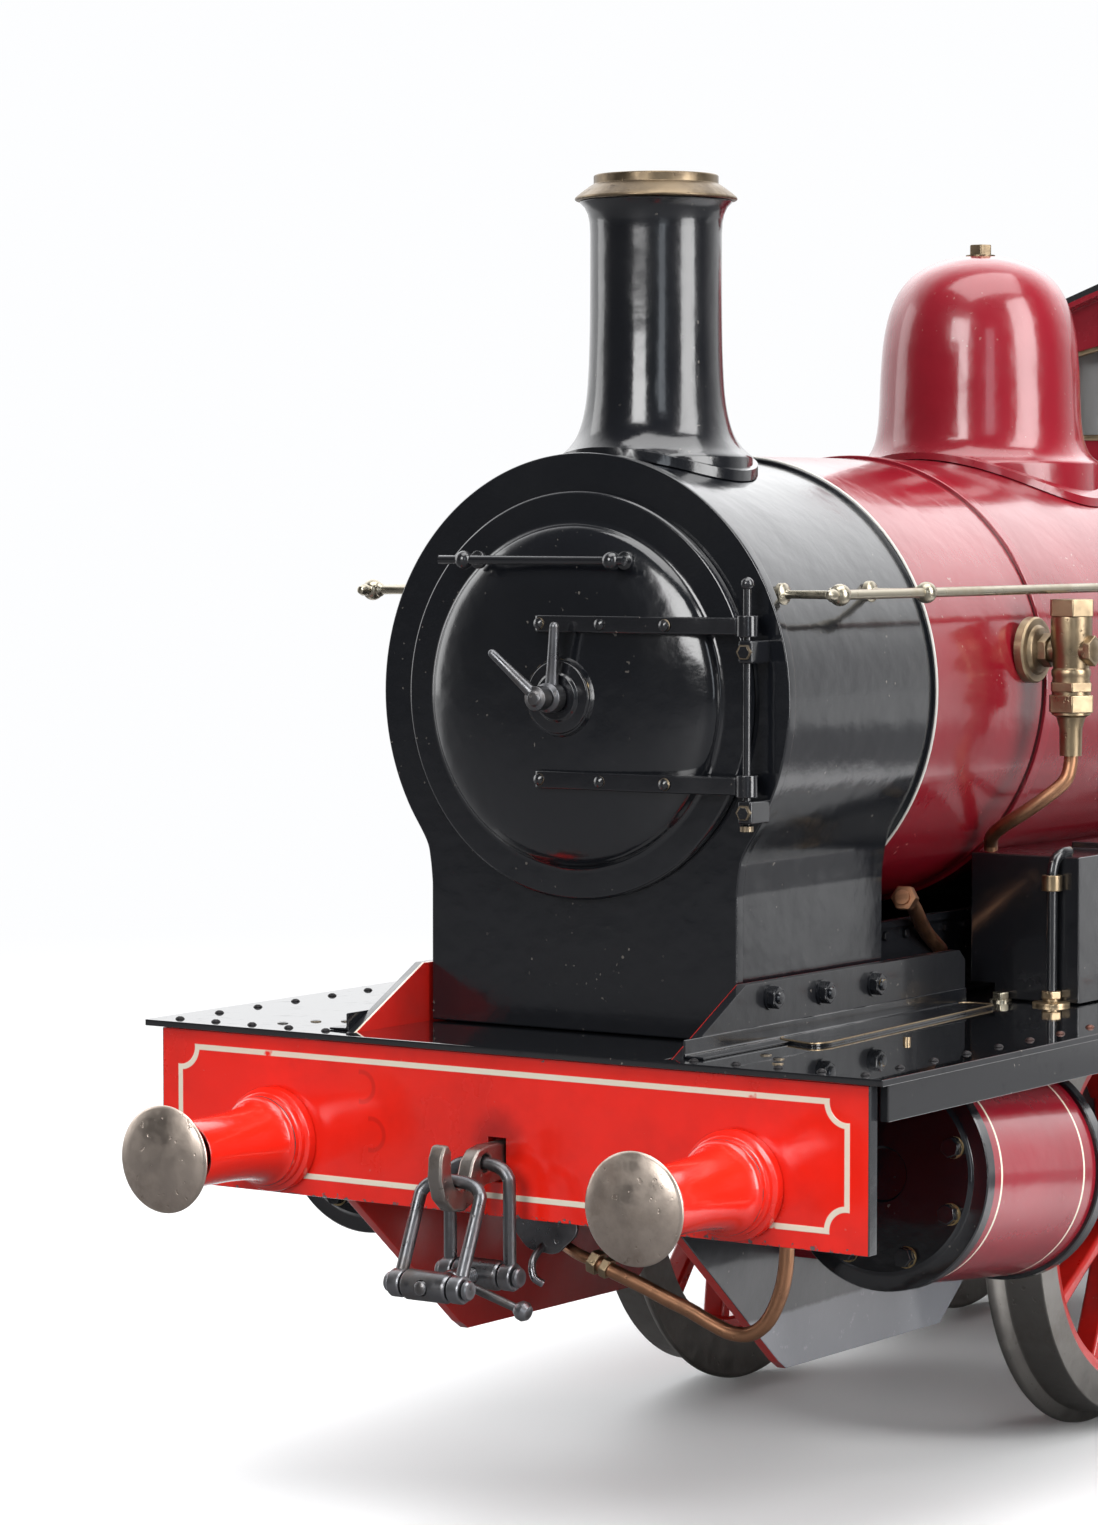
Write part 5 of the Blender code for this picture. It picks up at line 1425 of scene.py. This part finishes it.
rivet = spun(pairs(58, -10, 58, 6, 46, 22, 24, 34, 0, 37), Matrix(), 10)
edge_row = [(0.485, 0.016 + 0.078 * k, TOP) for k in range(39)]
front_row = [(0.485 - 0.056 * k, 0.016, TOP) for k in range(1, 5)]
both_sides([spread(rivet, places(edge_row + front_row))], "footplate_rivets", ENGINE, rivet_black,
           "black_paint")
bolts = []
for y, z in ((0.222, 0.062), (0.342, 0.057), (0.466, 0.056)):
    at = facing(0.238, y, z, "X")
    bolts.append(hexagon(at, 0.024, 0.0, 0.013, 0.0014))
    bolts.append(bar(at, 0.0155, 0.0, 0.0025, 28))
    bolts.append(spun(pairs(60, 120, 75, 120, 75, 145, 60, 165, 0, 170, 0, 120), at, 20))
angle = plate(pairs(2378, 92, 2660, 92, 2660, 120, 2420, 126, 2408, 150, 2408, 300, 2378, 310), "XZ", 0.03,
              0.7, 0.001)
both_sides(bolts, "gusset_bolts", ENGINE, black, "black_paint")
both_sides([angle], "gusset_angle", ENGINE, black, "black_paint")
strip = rounded(pairs(2420, 2320, 3060, 2050, 3140, 2280, 2880, 6900, 2420, 6900), 0.014, 4, ends=True)
both_sides([plate(strip, "XY", 0.0088, 0.013, 0.0011, 2)], "footplate_patch", ENGINE, worn_black,
           "black_paint")
trim = [rod([(x, y, 0.0127) for x, y in strip], 0.0012, 2, closed=True)]
both_sides(trim, "footplate_patch_edge", ENGINE, brass, "aged_brass")
screw_at = pairs(3300, 880, 3520, 500, 3000, 1100)
screw_head = spun(pairs(68, -10, 68, 8, 50, 20, 0, 24), Matrix(), 16)
both_sides([spread(screw_head, places([(x, y, TOP) for x, y in screw_at]))], "footplate_screws", ENGINE,
           worn_black, "black_paint")
print("rivets:", 2 * len(edge_row + front_row))

# %% [markdown]
# Beside the boiler stand the sandboxes, on studs and nuts, with a valve and a bent pipe at the front. A plain
# casing closes the space under the boiler, so no light comes through between the frames.

# %% Sandboxes and their pipes
casing = [block(-0.165, 0.165, 0.545, 1.69, 0.0095, 0.118, 0.003),
          block(-0.176, 0.176, 0.54, 1.69, 0.0095, 0.017, 0.0015)]
casing.append(block(-0.172, 0.172, 0.54, 1.69, 0.108, 0.118, 0.0015))
for k in range(22):
    for way in SIDES.values():
        at = facing(way * 0.164, 0.57 + 0.052 * k, 0.098, "X" if way > 0 else "-X")
        casing.append(hexagon(at, 0.012, 0.0, 0.006))
settle(joined(casing), "casing_under_boiler", ENGINE, worn_black, "black_paint")
for side in SIDES:
    settle(refined(f"sandbox_{side}", 0.0022, 3), f"sandbox_casting_{side}", ENGINE, worn_black,
           "black_paint", f"sandbox_{side}")
feet = []
for y in (0.756, 1.244):
    stud = facing(0.26, y, 0, "Z")
    feet += [hexagon(stud, 0.02, TOP, 0.021), bar(stud, 0.014, TOP, 0.0115, 24)]
both_sides(feet, "sandbox_feet", ENGINE, nickel, "nickelled_steel")
union = facing(0.333, 0.754, 0, "Z")
flange = [spun([(0, TOP), (0.024, TOP), (0.024, 0.0125), (0.011, 0.014), (0.011, 0.02), (0, 0.02)], union,
               32), hexagon(union, 0.024, 0.017, 0.027)]
flange += [hexagon(union, 0.023, 0.156, 0.172), bar(union, 0.013, 0.154, 0.174, 24, 0.001)]
both_sides(flange, "sand_valve_unions", ENGINE, brass, "aged_brass")
pipe = rod(flowing(triples(3330, 7540, 200, 3330, 7540, 900, 3330, 7540, 1600, 3335, 7545, 1800,
                           3350, 7600, 1940, 3380, 7720, 2010, 3400, 7860, 2020), 4), 0.0072, 5)
both_sides([pipe], "sand_valve_pipe", ENGINE, worn_black, "black_paint")
stub = [rod(flowing(triples(1700, 7600, 700, 1800, 7000, 1000, 2000, 6300, 1400, 2080, 5900, 1520), 5),
            0.0095, 5)]
stub.append(hexagon(toward((0.204, 0.61, 0.148), (0.208, 0.59, 0.152)), 0.029, 0.0, 0.016))
both_sides(stub, "blower_pipe", ENGINE, copper, "aged_brass")

# %% [markdown]
# Under the beam a copper pipe sags from its bracket and rises behind the near buffer. Bent pipe is a rod
# along a smooth run of points, with a hexagon union wherever two lengths meet.

# %% Pipes under the front beam
loop = triples(1180, 300, -2360, 1340, 300, -2420, 1520, 300, -2480, 1850, 290, -2580, 2200, 280, -2700,
               2480, 280, -2790, 2800, 280, -2920, 3050, 290, -3000, 3300, 300, -2980, 3520, 300, -2810,
               3680, 300, -2500, 3750, 300, -2200, 3770, 300, -1900)
pipes = [rod(flowing(loop, 4), 0.0088, 6), rod(flowing(triples(450, 600, -2200, 700, 450, -2260,
        950, 330, -2310, 1180, 300, -2360), 4), 0.007, 6)]
settle(joined(pipes), "brake_pipe_under_beam", ENGINE, copper, "aged_brass")
way = (0.152, 0.03, -0.248)
unions = [hexagon(toward((0.114, 0.03, -0.2345), way), 0.026, 0.0, 0.012),
          hexagon(toward((0.13, 0.03, -0.24), way), 0.0225, 0.0, 0.01)]
settle(joined(unions), "brake_pipe_unions", ENGINE, brass, "aged_brass")
tab = plate(rounded(pairs(100, -1860, 1000, -1860, 1000, -2060, 700, -2320, 300, -2280, 100, -2050), 0.01, 4,
                    ends=True), "XZ", 0.0185, 0.0235, 0.0012)
hook = rod(flowing(triples(520, 210, -2220, 520, 60, -2300, 540, -60, -2400, 600, -100, -2550,
                           680, -40, -2620), 4), 0.0045, 5)
settle(joined([tab, hook]), "pipe_bracket", ENGINE, oiled, "dark_steel")
print("pipes under the beam")

# %% [markdown]
# The cab is crimson outside and dove grey inside, and it is one sheet, so the paint has to know which side it
# is on. Inside is simply a region of space: between the side sheets, behind the front and under the roof.

# %% Cab paint
CAB_FRONT, CAB_BACK, CAB_HALF, ROOF_Z, SHEET = 2.2, 2.74, 0.45, 0.043, 0.006


def cab_paint(paint):
    maps = enamel((0.245, 0.0075, 0.0175), (0.3, 0.18, 0.09), 0.35, 0.14, 0.3)(paint)
    side = size(paint.x) > CAB_HALF - 0.002

    def panel(along, half_wide, middle, half_tall):
        return notched_line(paint, along, half_wide, paint.z - middle, half_tall, 0.022, 0.0022)

    lines = panel(paint.y - 2.322, 0.088, 0.335, 0.285) * (paint.y < 2.43)
    lines = lines + panel(paint.y - 2.892, 0.122, 0.305, 0.262) * (paint.y > 2.745)
    back_panel = panel(paint.x, 0.415, 0.305, 0.262) * (paint.y > REAR_BEAM - 0.022)
    line = (lines * side + back_panel) * paint.step(paint.grain(22, 3), 0.28, 0.33)
    base = paint.mix(line, maps["Base Color"], CREAM)
    roof = (paint.x * paint.x + (paint.z - ROOF_Z) * (paint.z - ROOF_Z)) ** 0.5
    inside = (size(paint.x) < CAB_HALF - SHEET) * (paint.y > CAB_FRONT + SHEET)
    inside = inside * (paint.y < CAB_BACK - SHEET) * (roof < 0.991)
    base = paint.mix((roof > 1.0015) * (paint.z > 0.9), base, (0.016, 0.016, 0.018))
    maps["Base Color"] = paint.mix(inside, base, (0.42, 0.42, 0.4))
    return maps


cab_crimson = finish("lined cab crimson", cab_paint, **SHINE)
settle(refined("cab", 0.0016), "cab_sheet", ENGINE, cab_crimson, "crimson_paint", "cab")
settle(refined("bunker", 0.0022), "bunker_sheet", ENGINE, cab_crimson, "crimson_paint", "bunker")

entrance = pairs(24800, 120, 24800, 3000, 24650, 3400, 24450, 3600, 24450, 7800)
entrance += arc(2.505, 0.78, 0.06, 170, 90, 6) + arc(2.635, 0.78, 0.06, 90, 10, 6)
entrance += pairs(26950, 7800, 26950, 3600, 26600, 3400, 26400, 3000, 26400, 120)
bead = [rod([(CAB_HALF - 0.001, y, z) for y, z in entrance], 0.005, 4)]
bead += [rod([(CAB_HALF - 0.004, y, 0.012), (CAB_HALF - 0.004, y, 0.016)], 0.0045, 4) for y in (2.25, 2.72)]
window = pairs(2300, 7550, 4150, 7550, 4150, 8800, 3300, 9000, 2300, 9000)
window = rounded(window, 0.012, 3, ends=True)
for y in (CAB_FRONT - 0.001, CAB_BACK + 0.001):
    bead.append(rod([(x, y, z) for x, z in window] + [(window[0][0], y, window[0][1])], 0.0048, 4,
                    closed=True))
both_sides(bead, "cab_beading", ENGINE, brass, "aged_brass")
rails = []
for y in (2.425, 2.715):
    low_z, high_z = 0.07, 0.56
    rails.append(rod([(0.468, y, low_z), (0.468, y, high_z)], 0.0052, 5))
    for z in (low_z + 0.006, high_z - 0.006):
        rails.append(ball(0.468, y, z, 0.01, 20))
        rails.append(spun(pairs(0, 0, 100, 0, 100, 30, 45, 60, 45, 180, 0, 180),
                          facing(CAB_HALF - 0.0005, y, z, "X"), 20))
both_sides(rails, "cab_handrails", ENGINE, nickel, "nickelled_steel")
steps = [plate(pairs(24750, 10, 26650, 10, 26550, -3650, 24850, -3650), "YZ", 0.436, 0.442, 0.0012)]
for z in (-0.19, -0.362):
    steps.append(block(0.44, 0.505, 2.48, 2.66, z, z + 0.008, 0.0015))
    steps.append(block(0.44, 0.446, 2.48, 2.66, z, z + 0.024, 0.0012))
both_sides(steps, "cab_steps", ENGINE, plate_black, "black_paint")
strips = []
STRIP_RADIUS = 1.0125
for angle in (66.5, 113.5):
    x = STRIP_RADIUS * math.cos(math.radians(angle))
    z = ROOF_Z + STRIP_RADIUS * math.sin(math.radians(angle))
    strips.append(rod([(x, 2.185, z), (x, 2.755, z)], 0.0045, 4))
for y in (2.178, 2.762):
    edge_arc = arc(0, ROOF_Z, 1.004, 62.6, 117.4, 41)
    strips.append(rod([(x, y, z) for x, z in edge_arc], 0.0065, 4))
roof_black = finish("roof black", enamel((0.016, 0.016, 0.018), (0.2, 0.18, 0.15), 0.5, 0.34, 0.6), **SHINE)
settle(joined(strips), "roof_strips", ENGINE, roof_black, "black_paint")
print("cab, entrance beading and steps")

# %% [markdown]
# Inside the cab is the boiler's back plate with the driver's fittings. The levers and the fire door move, so
# each stands in for its own solid. The gauge has a plain dial with numbers, because a blank disc would read
# as a button.

# %% Cab controls
REG_Z, DOOR_Z = 0.56, 0.25
front = BACKHEAD
DIAL, NUMBERS_AT = (0.135, front, 0.545), 0.026
regulator = [bar(facing(0, 0, REG_Z), 0.008, front - 0.025, front + 0.03, 24, 0.001),
             bar(facing(0, 0, REG_Z), 0.017, front + 0.005, front + 0.022, 40, 0.002)]
regulator += lever((0, front + 0.0135, REG_Z), (0.056, front + 0.02, REG_Z + 0.107), 0.0085, 0.0055, 0.011)
settle(joined(regulator), "regulator_lever", "regulator_handle", rod_steel, "bright_steel",
       "regulator_handle")
door = [(0, front + 0.0018), (0.06, front + 0.0018), (0.062, front + 0.0035), (0.062, front + 0.009),
        (0.059, front + 0.0118), (0, front + 0.0125)]
firedoor = [spun(door, facing(0, 0, DOOR_Z), 64), block(-0.078, 0.04, front + 0.006, front + 0.0155,
        DOOR_Z - 0.01, DOOR_Z + 0.01, 0.002)]
firedoor.append(bar(facing(-0.078, front + 0.01, 0, "Z"), 0.008, DOOR_Z - 0.022, DOOR_Z + 0.022, 24, 0.001))
firedoor += lever((0.048, front + 0.008, DOOR_Z), (0.048, front + 0.034, DOOR_Z), 0.006, 0.005, 0.007)
settle(joined(firedoor), "fire_door", "firehole_door", oiled, "dark_steel", "firehole_door")
reverser = [bar(facing(0, 2.56, 0.03, "X"), 0.018, -0.342, -0.318, 40, 0.002)]
reverser += lever((-0.33, 2.56, 0.03), (-0.33, 2.56, 0.255), 0.009, 0.0072)
reverser.append(spun(pairs(70, 2000, 105, 2060, 115, 2250, 100, 2500, 70, 2570, 0, 2580, 0, 2000),
                     facing(-0.33, 2.56, 0, "Z"), 28))
settle(joined(reverser), "reversing_lever", "reverser_lever", rod_steel, "bright_steel", "reverser_lever")
quadrant = arc(2.56, 0.03, 0.15, 50, 130, 17) + arc(2.56, 0.03, 0.134, 130, 50, 17)
settle(plate(quadrant, "YZ", -0.349, -0.344, 0.001), "reverser_quadrant", ENGINE, rod_steel, "bright_steel")

fittings = [spun(pairs(0, 0, 480, 0, 500, 40, 500, 180, 470, 220, 430, 220, 430, 140, 0, 140), facing(*DIAL),
                 64)]
WHEEL = 0.0225
for z in (0.4, 0.54):
    fittings.append(hexagon(facing(-0.12, front, z), 0.03, 0.0, 0.032))
    fittings.append(bar(facing(-0.12, front + 0.026, 0, "Z"), 0.012, z - 0.014, z + 0.014, 24, 0.001))
for x in (-0.185, 0.185):
    at = facing(x, front, 0.44)
    fittings += [hexagon(at, 0.03, 0.0, 0.02), bar(at, 0.006, 0.0, 0.04, 20)]
    turns = [math.tau * k / 10 for k in range(10)]
    section = [(WHEEL + 0.0035 * math.cos(a), 0.04 + 0.0035 * math.sin(a)) for a in turns]
    fittings.append(spun(section, at, 40, closed=True))
    for a in (0.4, 1.97):
        ends = [at @ Vector((w * math.cos(a), w * math.sin(a), 0.04)) for w in (-WHEEL, WHEEL)]
        fittings.append(rod(ends, 0.0022, 3))
settle(joined(fittings), "backhead_fittings", ENGINE, brass, "aged_brass")


def plain(tone, rough, metallic=0.0):
    def build(paint):
        cloud = paint.grain(30, 3)
        return {"Base Color": paint.mix(paint.step(cloud, 0.3, 0.7, 0, 0.3), tone, [t * 0.8 for t in tone]),
                "Roughness": paint.step(cloud, 0.2, 0.8, rough, rough + 0.1), "Metallic": metallic}

    return build


dial_white = finish("dial white", plain((0.78, 0.76, 0.7), 0.35))
dial_black = finish("dial black", plain((0.015, 0.015, 0.015), 0.4))
settle(bar(facing(*DIAL), 0.0428, 0.01, 0.0155, 48, 0.0005), "gauge_dial", ENGINE, dial_white,
       "nickelled_steel")
on_dial = Matrix.Translation(DIAL) @ Matrix.Rotation(math.pi / 2, 4, "X") @ Matrix.Scale(-1, 4, (0, 0, 1))
marks = []
for k in range(13):
    a = math.radians(225 - 22.5 * k)
    marks.append(block(0.033, 0.04, -0.0008, 0.0008, 0.0154, 0.016, 0))
    place(marks[-1], on_dial @ Matrix.Rotation(math.pi - a, 4, "Z"))
needle = block(-0.006, 0.031, -0.0011, 0.0011, 0.0164, 0.0172, 0)
place(needle, on_dial @ Matrix.Rotation(math.radians(80), 4, "Z"))
for number, degrees in (("0", 225), ("40", 165), ("80", 90), ("120", 15), ("160", -45)):
    alone()
    bpy.ops.object.text_add()
    text = bpy.context.active_object
    text.data.body, text.data.size, text.data.extrude = number, 0.0125, 0.0003
    text.data.align_x = text.data.align_y = "CENTER"
    text.data.resolution_u = 3
    bpy.ops.object.convert(target="MESH")
    text = bpy.context.active_object
    a = math.radians(degrees)
    spot = Vector((DIAL[0] - NUMBERS_AT * math.cos(a), front + 0.016, DIAL[2] + NUMBERS_AT * math.sin(a)))
    standing = Matrix.Translation(spot) @ Matrix.Rotation(math.pi, 4, "Z")
    text.data.transform(standing @ Matrix.Rotation(math.pi / 2, 4, "X"))
    marks.append(text)
settle(joined(marks + [needle]), "gauge_marks", ENGINE, dial_black, "black_paint")
glass = bar(facing(-0.12, front + 0.026, 0, "Z"), 0.007, 0.414, 0.526, 24)
water_glass = finish("gauge glass", plain((0.55, 0.62, 0.6), 0.08), **{"Coat Weight": 1.0})
settle(glass, "water_glass", ENGINE, water_glass, "nickelled_steel")


def planks(paint):
    stretched = paint.node("mapping", {"vector_type": "POINT"}, {"Vector": paint.here, "Scale": (60, 5, 60)})
    veins = paint.grain(1.0, 5, 0.65, stretched)
    gap = paint.step(size((paint.x * 16).calc("FRACT") - 0.5), 0.455, 0.485)
    tone = paint.mix(paint.step(veins, 0.3, 0.7), (0.135, 0.068, 0.032), (0.3, 0.175, 0.09))
    rough = paint.step(veins, 0.2, 0.8, 0.45, 0.7)
    dark_gaps = paint.mix(gap, tone, (0.02, 0.012, 0.008))
    return {"Base Color": dark_gaps, "Roughness": rough, "Height": veins * 0.3 - gap * 0.8, "Depth": 0.003}


wood = finish("oiled planks", planks)
settle(block(-0.43, 0.43, 2.3, 2.726, 0.0092, 0.018, 0.0015), "cab_floor_planks", ENGINE, wood, "black_paint")
whistle = pairs(0, 6850, 120, 6900, 120, 7060, 70, 7080, 70, 7200, 150, 7230, 160, 7280, 120, 7300, 100, 7340,
                150, 7380, 155, 7800, 130, 7860, 50, 7880, 50, 7940, 68, 7980, 50, 8020, 0, 8030)
settle(spun(whistle, facing(0.075, 2.12, 0, "Z"), 40), "whistle", ENGINE, brass, "aged_brass")
print("cab fittings, dial and whistle")

# %% [markdown]
# Coal is a pile of broken lumps, every one different but all from the same few shapes. Four lumps are hewn
# from a coarse ball by pushing its corners in and out, then scattered from a fixed seed so the pile is the
# same on every run.

# %% Coal
import random

KINDS, LUMPS = 4, 420
BED_HALF, BED_FRONT, BED_REAR = 0.437, 2.754, 3.029
scatter = random.Random(7)
lumps = []
for k in range(KINDS):
    alone()
    bpy.ops.mesh.primitive_ico_sphere_add(subdivisions=1, radius=1)
    lump = bpy.context.active_object
    for vertex in lump.data.vertices:
        vertex.co *= scatter.uniform(0.62, 1.15)
    lumps.append(bevelled(lump, 0.08, 1, 20))
pile = []
for k in range(LUMPS):
    x, y = scatter.uniform(-0.415, 0.415), scatter.uniform(2.775, 3.01)
    crown = 0.49 + 0.09 * math.cos(x * 3.4) - 0.5 * abs(y - 2.89) ** 1.5
    radius = scatter.uniform(0.014, 0.03)
    z = crown - scatter.uniform(0, 0.045)
    limit = BED_HALF - radius * 1.2
    x, y = max(-limit, min(limit, x)), max(BED_FRONT + radius * 1.2, min(BED_REAR - radius * 1.2, y))
    angle, axis = scatter.uniform(0, 6.3), Vector([scatter.uniform(-1, 1) for _ in range(3)]).normalized()
    broad = (radius, radius * scatter.uniform(0.7, 1), radius * scatter.uniform(0.6, 0.9), 1)
    turned = Matrix.Translation((x, y, z)) @ Matrix.Rotation(angle, 4, axis)
    pile.append((k % KINDS, turned @ Matrix.Diagonal(broad)))
heaps = [spread(lump, [m for i, m in pile if i == k]) for k, lump in enumerate(lumps)]
bed = block(-0.436, 0.436, 2.756, 3.028, 0.121, 0.47, 0.002)


def coal_face(paint):
    chunk = paint.grain(34, 4, 0.6)
    glint = paint.step(chunk, 0.5, 0.6)
    shiny = paint.mix(glint, (0.007, 0.007, 0.008), (0.022, 0.022, 0.026))
    rough = paint.step(chunk, 0.4, 0.6, 0.62, 0.24)
    return {"Base Color": shiny, "Roughness": rough, "Height": chunk, "Depth": 0.003}


coal = finish("coal", coal_face)
settle(joined(heaps + [bed]), "bunker_coal", ENGINE, coal, "black_paint")
print("lumps of coal:", LUMPS)

# %% [markdown]
# Under the footplate are the parts that only show from the side: brake blocks on hangers, sand pipes that
# end ahead of the driving wheels, and the axleboxes in their horns. They are plain, but an empty space
# between the wheels would look unfinished.

# %% Brakes, sand pipes and axleboxes
def polar(y, radius, angles):
    return [(y + radius * math.cos(math.radians(a)),
             AXLE_Z + radius * math.sin(math.radians(a))) for a in angles]


gear = []
for axle in AXLES[1:]:
    shoe = polar(axle, 0.2795, range(-16, 13, 2)) + polar(axle, 0.301, range(12, -17, -2))
    gear.append(plate(shoe, "YZ", 0.286, 0.33, 0.002))
    y = axle + 0.308
    gear.append(plate([(y - 0.006, -0.008), (y + 0.008, -0.008), (y + 0.004, -0.34), (y - 0.008, -0.34)],
                      "YZ", 0.301, 0.312, 0.0018))
    gear.append(bar(facing(0, y, AXLE_Z, "X"), 0.008, 0.295, 0.318, 24, 0.001))
    gear.append(bar(facing(0, y, -0.33, "X"), 0.0065, -0.0001, 0.317, 24))
both_sides(gear, "brake_gear", ENGINE, black, "black_paint")
sand = rod(flowing(triples(3080, 12500, 0, 3080, 12620, -700, 3080, 12980, -1600, 3080, 13190, -2800,
                           3080, 13440, -4200, 3080, 13980, -5300), 5), 0.0068, 5)
both_sides([sand], "sand_pipe", ENGINE, copper, "aged_brass")
LEAF_HALF, LEAF_SAG = 0.15, 0.022
boxes = []
for axle in AXLES:
    shape = block(0.155, 0.2225, axle - 0.055, axle + 0.055, AXLE_Z - 0.06, AXLE_Z + 0.075, 0.0025)
    boxes.append(shade(cut(shape, bar(facing(0, axle, AXLE_Z, "X"), 0.031, 0.1, 0.3, 48))))
    for k in range(5):
        half = LEAF_HALF - 0.026 * k
        spans = [half * (i / 6 - 1) for i in range(13)]
        height = AXLE_Z + 0.128 + 0.0085 * k
        outline = [(axle + t, height - LEAF_SAG * (1 - (t / LEAF_HALF) ** 2)) for t in spans]
        outline += [(y, z + 0.0078) for y, z in outline[::-1]]
        boxes.append(plate(outline, "YZ", 0.17, 0.208, 0.0006, 1))
    boxes.append(block(0.166, 0.212, axle - 0.014, axle + 0.014, AXLE_Z + 0.07, AXLE_Z + 0.168, 0.0015))
both_sides(boxes, "axleboxes_and_springs", ENGINE, oiled, "dark_steel")
print("running gear details")

# %% [markdown]
# Last, the size of the dressed engine is set beside the size of the bare frame in one dictionary. They
# should agree, because looks may refine a part but never make it bigger.

# %% Sizes
visual_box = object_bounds()
boxes = {"cad": [list(map(float, v)) for v in cad_box], "visual": [list(map(float, v)) for v in visual_box]}
print("the engine is", round(float(visual_box[1][2] - visual_box[0][2]) * 1000), "mm tall")
